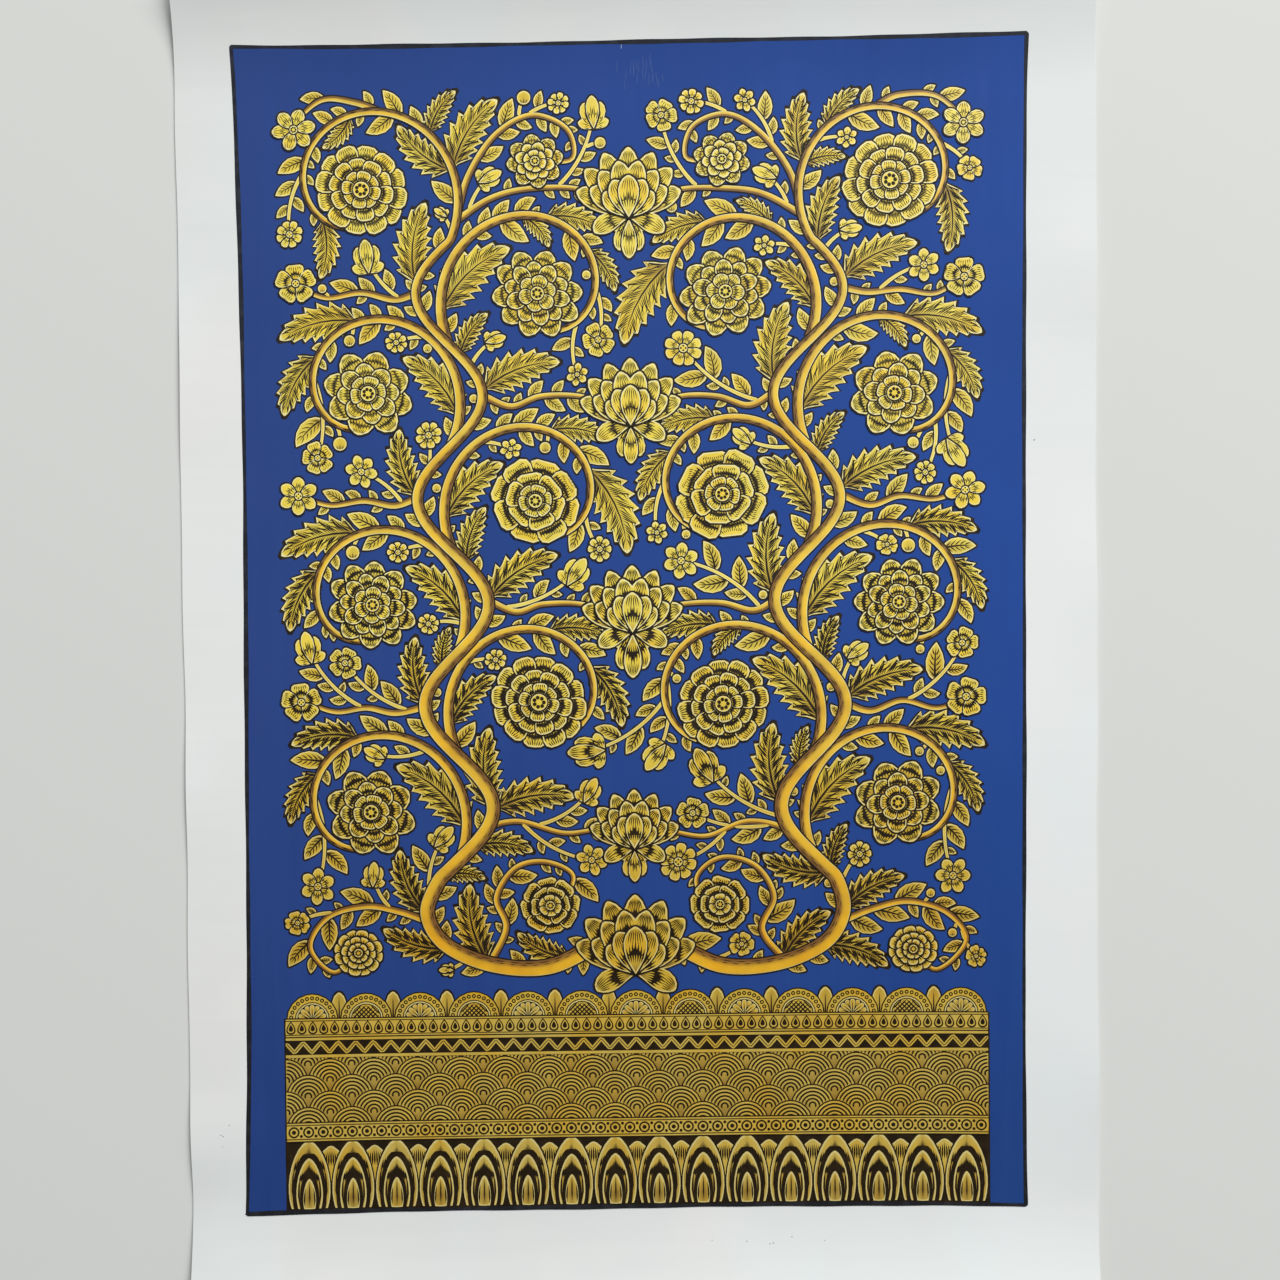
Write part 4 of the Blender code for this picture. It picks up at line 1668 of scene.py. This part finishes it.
def draw_scales(coats):
    """Rows of overlapping discs, each row in front of the one above, with black arcs in each.
    An arc starts where it comes out from under the two discs in front, which is where a circle
    of its radius meets theirs."""
    _, top = BANDS["scales"]
    radius = PITCH / 2
    reach, lean = math.hypot(PITCH / 2, SCALE_STEP), math.atan2(SCALE_STEP, PITCH / 2)
    for row in range(SCALE_ROWS):
        y = top - radius - (row - 1) * SCALE_STEP
        height = FOOT_HEIGHT + 3 * row * FILM
        whole = in_row(PETALS - row % 2)
        foot = LAST_ROW_CUT if row == SCALE_ROWS - 1 else 0.0
        cut = [] if row % 2 == 0 else [(-FOOT_SIDE, (-1, 0)), (FOOT_SIDE, (0, 1))]
        for x, part in [(whole, (-1, 1))] + cut:
            dot(coats["black"], x, y, radius, height, DISC, part, foot)
            dot(coats["gold"], x, y, radius - SCALE_OUTLINE, height + FILM, DISC, part, foot, scale_shade)
        for inner in np.arange(1, 6) * ARC_PITCH:
            r = radius - ARC_INSET - inner
            clear = (r**2 + reach**2 - radius**2) / (2 * r * reach)
            start = math.acos(min(1.0, clear)) - lean - 0.10
            paths = [arcs(whole, y, r, start, math.pi - start)]
            for x, _ in cut:
                ends = (start, math.pi / 2) if x < 0 else (math.pi / 2, math.pi - start)
                paths.append(arcs(x, y, r, *ends))
            for path in paths:
                draw_lines(coats["hair"], path, ARC_HALF, height + 2 * FILM)


# How far the zigzag's corners lie from its middle line, and its half width. Then the half width of
# the gold lines, how far in from the band's edges they run, and how far out the black does.
ZIGZAG_RISE = 2.0 * MM
ZIGZAG_HALF = 0.75 * MM
BAND_LINE_HALF = 0.55 * MM
BAND_SPARE = 0.3 * MM


def draw_zigzag(coats):
    """A gold zigzag between two gold lines, with a thin black line along its middle."""
    low, high = BANDS["zigzag"]
    middle, half = middle_and_half("zigzag")
    height = FOOT_HEIGHT + 16 * FILM
    strip(coats["black"], middle, half + BAND_SPARE, height)
    for y in (low + BAND_SPARE, high - BAND_SPARE):
        strip(coats["gold"], y, BAND_LINE_HALF, height + FILM)
    x = np.linspace(-FOOT_SIDE, FOOT_SIDE, 81)
    y = middle + ZIGZAG_RISE * (1 - 2 * (np.arange(81) % 2))
    path = evenly(np.stack([x, y], -1), 0.99 * MM)[None]
    draw_lines(coats["gold"], path, ZIGZAG_HALF, height + FILM)
    draw_lines(coats["hair"], path, FINE_HAIR, height + 2 * FILM)


DROP = Form(lambda t: hump(t, 0.45, 1.0), close_to_ends(7))
# The layers of a drop, the lowest first: their coat, and their length and half width in millimetres.
DROP_LAYERS = (("black", 5.2, 1.85), ("gold", 3.9, 1.30), ("hair", 2.7, 0.85))
# How far in from the stripe's edge its black line starts and ends.
DROP_LINE = (0.5 * MM, 0.85 * MM)


def draw_drops(coats):
    """A gold stripe with black drops standing in it, each with a gold ring and a black heart."""
    y, half = middle_and_half("drops")
    x = in_row(4 * PETALS, 4)
    height = FOOT_HEIGHT + 18 * FILM
    draw_stripe(coats, y, half, *DROP_LINE, height)
    for film, (name, length, width) in enumerate(DROP_LAYERS, 4):
        blades = uprights(x, y - length * 0.48 * MM, length * MM, width * MM)
        tips = blade_places(blades, np.array([[0.0], [1.0]]), np.zeros((2, 1)), DROP)[:, :, 0]
        grid = blade_places(blades, DROP.rows[:, None], np.linspace(-1, 1, 3)[None], DROP)
        coats[name].lay(grid, tips, height + film * FILM)


# Where the domes stand, a little under the top of the drops' band.
DOME_FOOT = BANDS["drops"][1] - 0.2 * MM
# The half rounds of a dome, the lowest first: their coat and their radius in millimetres. Then the
# radius that its beads stand on, and the two dots of a bead, in the same way.
DOME_ROUNDS = (("black", 10.3), ("gold", 9.8), ("hair", 6.9), ("pale", 6.5), ("hair", 6.0))
BEADS_RADIUS = 8.35 * MM
BEAD_DOTS = (("hair", 0.82), ("gold", 0.34))
# What is in a dome's middle: its radius, how many petals it has, how they fan out, their half width,
# pale rim and outline, and the half width of a mesh's lines.
HEART_RADIUS = 5.6 * MM
HEART_PETALS = 7
HEART_SPREAD = 1.30
HEART_HALF = 0.98 * MM
HEART_RIM = 0.22 * MM
HEART_OUTLINE = 0.25 * MM
MESH_HALF = 0.30 * MM
# The buds between the domes: how far they stand under the domes' foot, their length, half width and
# pale rim, and the half width of their midrib and the petals'.
BUD_SUNK = 1 * MM
BUD_LENGTH = 11.5 * MM
BUD_HALF = 2.7 * MM
BUD_RIM = 0.4 * MM
BUD_MIDRIB = 0.25 * MM


def draw_mesh(coats, x, y, radius, height):
    """A gold round crossed both ways by black lines, each a chord of the round."""
    dot(coats["gold"], x, y, radius, height, DISC)
    offsets = np.linspace(-0.9, 0.9, 9) * radius
    reach = np.sqrt(radius**2 - offsets**2)
    for slope in (1, -1):
        ends = np.linspace(-1, 1, 6)[None] * reach[:, None]
        across = np.stack([ends - offsets[:, None], slope * (ends + offsets[:, None])], -1) / math.sqrt(2)
        draw_lines(coats["hair"], across + (x, y), MESH_HALF, height + (2 + slope) / 2 * FILM)


def draw_domes(coats):
    """Half rounds on the top band, each with a beaded rim and a fan of petals or a mesh, and a bud
    between each two."""
    y = DOME_FOOT
    x = (np.arange(DOMES) - (DOMES - 1) / 2) * DOME_PITCH
    turn = np.linspace(0.12, math.pi - 0.12, 13)
    buds = uprights(x[:-1] + DOME_PITCH / 2, y - BUD_SUNK, BUD_LENGTH, BUD_HALF)
    veins = [midrib(0.8, BUD_MIDRIB)]
    draw_blades(coats, buds, POINTED, FOOT_HEIGHT, veins=veins, rim=BUD_RIM, shade=leaf_shade)
    height = FOOT_HEIGHT + 4 * FILM
    for film, (name, radius) in enumerate(DOME_ROUNDS):
        dot(coats[name], x, y, radius * MM, height + film * FILM, DISC)
    for number, centre in enumerate(x):
        bead_x, bead_y = centre + BEADS_RADIUS * np.cos(turn), y + BEADS_RADIUS * np.sin(turn)
        for film, (name, radius) in enumerate(BEAD_DOTS, 2):
            dot(coats[name], bead_x, bead_y, radius * MM, height + film * FILM)
        if number % 2:
            draw_mesh(coats, centre, y, HEART_RADIUS, height + 5 * FILM)
            continue
        petals = fan_blades(centre, y + 0.2 * MM, math.pi / 2, HEART_RADIUS, HEART_SPREAD, HEART_PETALS,
                            HEART_HALF, 0.0, 0)
        level, length = np.arange(HEART_PETALS) % 2, petals.length * 0 + HEART_RADIUS
        draw_blades(coats, petals._replace(level=level, length=length), ROUND, height + 5 * FILM,
                    veins=veins, rim=HEART_RIM, outline=HEART_OUTLINE)


def draw_foot():
    """Lay the bands from the lowest films up."""
    coats = new_coats("foot", FootCoat)
    draw_frieze(coats)
    draw_scales(coats)
    draw_domes(coats)
    draw_zigzag(coats)
    draw_rings(coats)
    draw_drops(coats)
    return [coat.finish() for coat in coats.values()]


foot_pieces = [make_foot_ground()] + draw_foot()

# The marks
# Small scuffs and stray touches of the brush: pale streaks by the top edge, a few pale specks in
# the field, and dark specks in the margins.

MARK_HEIGHT = GROUND_TOP + 2 * FILM
# The half width of a mark.
MARK_HALF = 0.14 * MM

# Where each group of marks lies, how far it spreads, how many, half their length, the way they
# run, and their tone: 0 is pale, a half is a faint blue, and 1 is dark.
MARKS = [
    {"x": -2.3, "y": 224, "wide": 0, "high": 0, "count": 1, "length": 1.0, "turn": 1.5, "tone": 0.0},
    {"x": 6, "y": 216, "wide": 9, "high": 6, "count": 22, "length": 2.6, "turn": 1.57, "tone": 0.5},
    {"x": 72.5, "y": -53, "wide": 1.6, "high": 2.4, "count": 6, "length": 0.35, "turn": 1.4, "tone": 0.0},
    {"x": 155.8, "y": 72, "wide": 0, "high": 0, "count": 1, "length": 0.5, "turn": 0.4, "tone": 1.0},
    {"x": -161, "y": -196, "wide": 4, "high": 12, "count": 4, "length": 0.22, "turn": 0.9, "tone": 1.0},
    {"x": 60, "y": -238, "wide": 40, "high": 3, "count": 6, "length": 0.2, "turn": 0.2, "tone": 1.0},
]


def mark_material():
    """Pale grey-green, a faint blue, or dark brown, by each mark's tone."""
    n = Nodes("stray_touches")
    tone = n.add("ShaderNodeAttribute", attribute_name="shade").outputs["Fac"]
    pale = n.blend(n.noise(200.0), (0.20, 0.28, 0.52, 1), (0.36, 0.46, 0.56, 1))
    light = n.blend(n.spread(tone, 0.0, 0.5), pale, (0.034, 0.082, 0.290, 1))
    n.feed("Base Color", n.blend(n.spread(tone, 0.5, 1.0), light, (0.06, 0.05, 0.04, 1)))
    n.shader.inputs["Roughness"].default_value = 0.8
    return n.material


def draw_marks():
    """Lay each group of marks as short strokes about its place."""
    coat = Coat("stray_touches", mark_material(), "black_line")
    for group in MARKS:
        count = group["count"]
        places = rng.normal(0, 0.5, (count, 2)) * (group["wide"], group["high"]) + (group["x"], group["y"])
        turn = rng.normal(group["turn"], 0.08, count)
        way = np.stack([np.cos(turn), np.sin(turn)], -1)
        along = way * rng.uniform(0.6, 1.4, (count, 1)) * group["length"]
        paths = places[:, None] + along[:, None] * np.linspace(-1, 1, 5)[:, None]
        grid, tips = stroke_grid(paths * MM, np.full(3, MARK_HALF))
        coat.lay(grid, tips, MARK_HEIGHT, np.full((3, 3), group["tone"]))
    return coat.finish()


marks = draw_marks()
